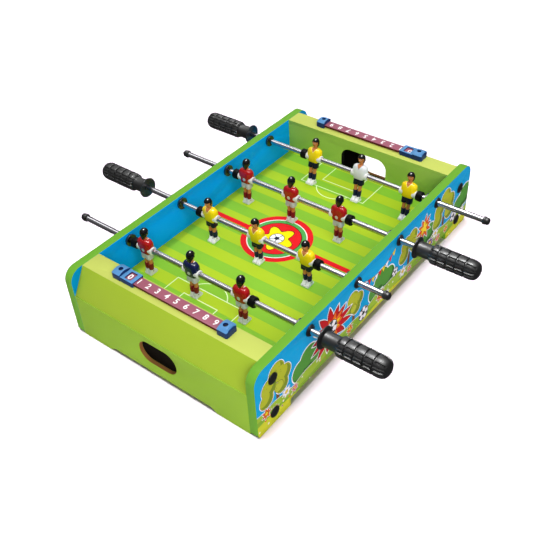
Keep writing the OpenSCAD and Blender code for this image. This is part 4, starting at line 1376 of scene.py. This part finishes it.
class FOOSBALL_OT_counters(bpy.types.Operator):
    """Score rails with digits, their mounts and sliders"""

    bl_idname = "foosball.counters"
    bl_label = "Score counters"

    def digit(self, figure, where, turn):
        clear()
        bpy.ops.object.text_add(location=(0, 0, 0))
        obj = bpy.context.active_object
        obj.data.body = figure
        obj.data.align_x = "CENTER"
        obj.data.align_y = "CENTER"
        share_of_size = 0.72
        obj.data.size = sizes().digit_height / share_of_size
        obj.data.offset = 0.22 * MM
        obj.data.extrude = 0.08 * MM
        obj.data.resolution_u = 6
        bpy.ops.object.convert(target="MESH")
        obj = bpy.context.active_object
        obj.name = "digit"
        edit(obj)
        weld(1e-7)
        place(obj, Matrix.Translation(where) @ Matrix.Rotation(turn, 4, "Z"))
        return obj

    def lift(self, obj, above, height):
        """Raises the top of a moulding."""
        for v in obj.data.vertices:
            if v.co.z > above:
                v.co.z += height

    def arch(self, obj, middle):
        """Gives the mounts their arched tops."""
        foot, crest, fall = 8 * MM, 1.6, 3.0
        half = (obj.bound_box[6][1] - obj.bound_box[0][1]) / 2
        edit(obj)
        for k in (-0.85, -0.6, -0.3, 0, 0.3, 0.6, 0.85):
            take_all()
            bpy.ops.mesh.bisect(plane_co=(0, middle + k * half, 0), plane_no=(0, 1, 0))
        leave()
        for v in obj.data.vertices:
            part = (v.co.z - SHELF_TOP) / foot
            if part > 1:
                arched = crest - fall * ((v.co.y - middle) / half) ** 2
                v.co.z += arched * MM * min(1.0, (part - 1) * 8)

    def execute(self, context):
        c = colours()
        edge = sizes().part_edge
        rise = sizes().rail_rise
        blue = moulded("counter_plastic", c.counter, 0.38)
        # painted shade: the upright faces of mounts and sliders take a darker blue
        flank = moulded("counter_flank", c.counter_flank, 0.38)
        strip = moulded("strip_plastic", c.rail, 0.4)
        # painted shade: the upright faces of the rails take a darker maroon
        strip_flank = moulded("strip_flank", srgb(84, 18, 26), 0.4)

        # upright faces, which take the painted shade of the sides
        def upright(co, no):
            return abs(no.z) < 0.6

        for end, turn in (("near", 0.0), ("far", math.pi)):
            rail = board("score_rail_" + end, "rail_" + end)
            self.lift(rail, SHELF_TOP + 3 * MM, rise)
            round_edges(rail, edge * 0.4)
            paint(rail, strip)
            # painted shade on the rail's upright faces
            paint(rail, strip_flank, upright)
            smooth(rail, 30)
            hand_over(rail, "table", "rail", "score_rail_" + end)
            lo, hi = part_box("score_rail_" + end)
            middle = (lo[1] + hi[1]) / 2
            flip = 1 if end == "near" else -1
            row = []
            for n in range(10):
                x = flip * (n - 4.5) * sizes().digit_pitch
                row.append(self.digit(str(n), (x, middle, hi[2] + rise + 0.02 * MM), turn))
            digits = join("digits_" + end, row)
            digits.data.materials.clear()
            paint(digits, ready("digit_paint"))
            hand_over(digits, "table", "rail")
            for kind, body in (("mounts", "table"), ("slider", "slider_" + end)):
                node = "score_%s_%s" % (kind, end)
                obj = board(node, node + "_shell", whole=body == "table")
                if body == "table":
                    self.arch(obj, middle)
                else:
                    self.lift(obj, SHELF_TOP + 4 * MM, rise)
                round_edges(obj, edge, segments=3)
                paint(obj, blue)
                # painted shade on the upright faces of mounts and sliders
                paint(obj, flank, upright)
                smooth(obj, 35)
                hand_over(obj, body, "counter", node)
        refinish("score_screws", ready("dark_steel"))
        return {"FINISHED"}


# ---- stage ----


class FOOSBALL_OT_stage(bpy.types.Operator):
    """Camera, pale floor and soft studio light"""

    bl_idname = "foosball.stage"
    bl_label = "Stage"

    def execute(self, context):
        scene = context.scene
        azimuth, elevation, roll = (
            math.radians(CAMERA[key]) for key in ("azimuth", "elevation", "roll")
        )
        target = Vector((0, 0, 0.04))
        level = math.cos(elevation)
        back = Vector((math.sin(azimuth) * level, -math.cos(azimuth) * level, math.sin(elevation)))
        forward = -back
        right = forward.cross(Vector((0, 0, 1))).normalized()
        up = right.cross(forward)
        right_r = right * math.cos(roll) + up * math.sin(roll)
        up_r = up * math.cos(roll) - right * math.sin(roll)
        turn = Matrix((right_r, up_r, back)).transposed().to_4x4()
        data = bpy.data.cameras.new("camera")
        camera = bpy.data.objects.new("camera", data)
        scene.collection.objects.link(camera)
        camera.matrix_world = Matrix.Translation(target + back * CAMERA["distance"]) @ turn
        for key in ("lens", "shift_x", "shift_y"):
            setattr(data, key, CAMERA[key])
        data.sensor_width = 36
        data.clip_start = 0.01
        scene.camera = camera
        scene.view_settings.view_transform = "Standard"
        scene.view_settings.look = "None"

        clear()
        bpy.ops.mesh.primitive_plane_add(size=8)
        floor = bpy.context.active_object
        floor.name = "floor"
        paper = (0.93, 0.82, 0.93)
        floor.data.materials.append(finish("floor_paper", paper, 0.9, 0.05, 0.01, 3.0, 300.0, 0.0))
        floor.visible_glossy = False

        world = bpy.data.worlds.new("studio")
        world.use_nodes = True
        p = Pattern(world.node_tree)
        way = p.node("ShaderNodeTexCoord").outputs["Generated"]
        above = p.math("MAXIMUM", p.sub(p.split(way)[2], 0.12), 0.0)
        rise = p.math("SMOOTH_MIN", above, 0.75, 0.2)
        level = p.add(p.mul(rise, STUDIO["zenith"]), STUDIO["horizon"])
        glow = p.node("ShaderNodeCombineXYZ", X=level, Y=level, Z=level).outputs[0]
        direct = p.node("ShaderNodeLightPath").outputs["Is Camera Ray"]
        sky = world.node_tree.nodes["Background"].inputs
        p.feed(sky["Color"], p.over(glow, (1.0, 1.0, 1.0), direct))
        p.feed(sky["Strength"], 1.0)
        scene.world = world

        def lamp(name, kind, where, diffuse=True, gloss=True):
            """A lamp of the studio's power for its name, aimed at the table."""
            data = bpy.data.lights.new(name, kind)
            data.energy = STUDIO[name]
            obj = bpy.data.objects.new(name, data)
            scene.collection.objects.link(obj)
            obj.location = where
            aim = Vector((0, 0, 0.05)) - Vector(where)
            obj.rotation_euler = aim.to_track_quat("-Z", "Y").to_euler()
            obj.visible_diffuse = diffuse
            obj.visible_glossy = gloss
            return data

        names = ("table", "ground", "shadow_boards", "tubes", "men")
        table, ground, boards, tubes, men = (bpy.data.collections.new(name) for name in names)
        for obj in bpy.data.objects:
            if obj.type == "MESH":
                (ground if obj == floor else table).objects.link(obj)
                if obj.name.startswith("tube_"):
                    tubes.objects.link(obj)
                if obj.name.startswith("figure_"):
                    men.objects.link(obj)
        for name in ("side_panel_left", "side_panel_right", "end_panel_near", "end_panel_far",
                     "end_slope_near", "end_slope_far"):
            boards.objects.link(bpy.data.objects[name + "_board"])
        lamp("overhead", "AREA", (-0.2, 0.1, 2.6)).size = 2.4
        lamp("front", "AREA", tuple(back * 3.6 + right), gloss=False).size = 2.6
        for name, where, size in (
            ("rear", (-0.97, 1.4, 1.02), (1.2, 0.5)), ("left", (-1.35, 0.05, 1.2), (0.4, 1.4)),
        ):
            strip = lamp(name, "AREA", where, diffuse=False)
            strip.shape = "RECTANGLE"
            strip.size, strip.size_y = size
        lamp("glint", "AREA", (-0.1, 0.2, 2.2), diffuse=False).size = 0.8
        lamp("sun", "SUN", (-0.3, 0.14, 1.6)).angle = math.radians(9)
        lamp("floor_sun", "SUN", (-0.1, -0.05, 1.6)).angle = math.radians(18)
        for name, lit in (("overhead", table), ("front", table), ("sun", table), ("left", tubes),
                          ("glint", men), ("floor_sun", ground)):
            bpy.data.objects[name].light_linking.receiver_collection = lit
        for name in ("sun", "floor_sun"):
            bpy.data.objects[name].light_linking.blocker_collection = boards
        return {"FINISHED"}


STEPS = ("boards", "field", "rods", "handles", "men", "bushings", "caps", "counters", "stage")


class FOOSBALL_PT_panel(bpy.types.Panel):
    """Lists the operators that build the table"""

    bl_idname = "FOOSBALL_PT_panel"
    bl_label = "Football table"
    bl_space_type = "VIEW_3D"
    bl_region_type = "UI"
    bl_category = "Football table"

    def draw(self, context):
        layout = self.layout
        for step in STEPS:
            layout.operator("foosball." + step)
        for group in (context.scene.foosball_sizes, context.scene.foosball_colours):
            box = layout.box()
            for key in group.__annotations__:
                box.prop(group, key)


CLASSES = (
    FoosballColours, FoosballSizes, FOOSBALL_OT_boards, FOOSBALL_OT_field, FOOSBALL_OT_rods,
    FOOSBALL_OT_handles, FOOSBALL_OT_men, FOOSBALL_OT_bushings, FOOSBALL_OT_caps,
    FOOSBALL_OT_counters, FOOSBALL_OT_stage, FOOSBALL_PT_panel,
)


def register():
    for cls in CLASSES:
        bpy.utils.register_class(cls)
    bpy.types.Scene.foosball_colours = PointerProperty(type=FoosballColours)
    bpy.types.Scene.foosball_sizes = PointerProperty(type=FoosballSizes)


def unregister():
    del bpy.types.Scene.foosball_sizes
    del bpy.types.Scene.foosball_colours
    for cls in reversed(CLASSES):
        bpy.utils.unregister_class(cls)


def main():
    register()
    for step in STEPS:
        getattr(bpy.ops.foosball, step)()


if __name__ == "__main__":
    main()
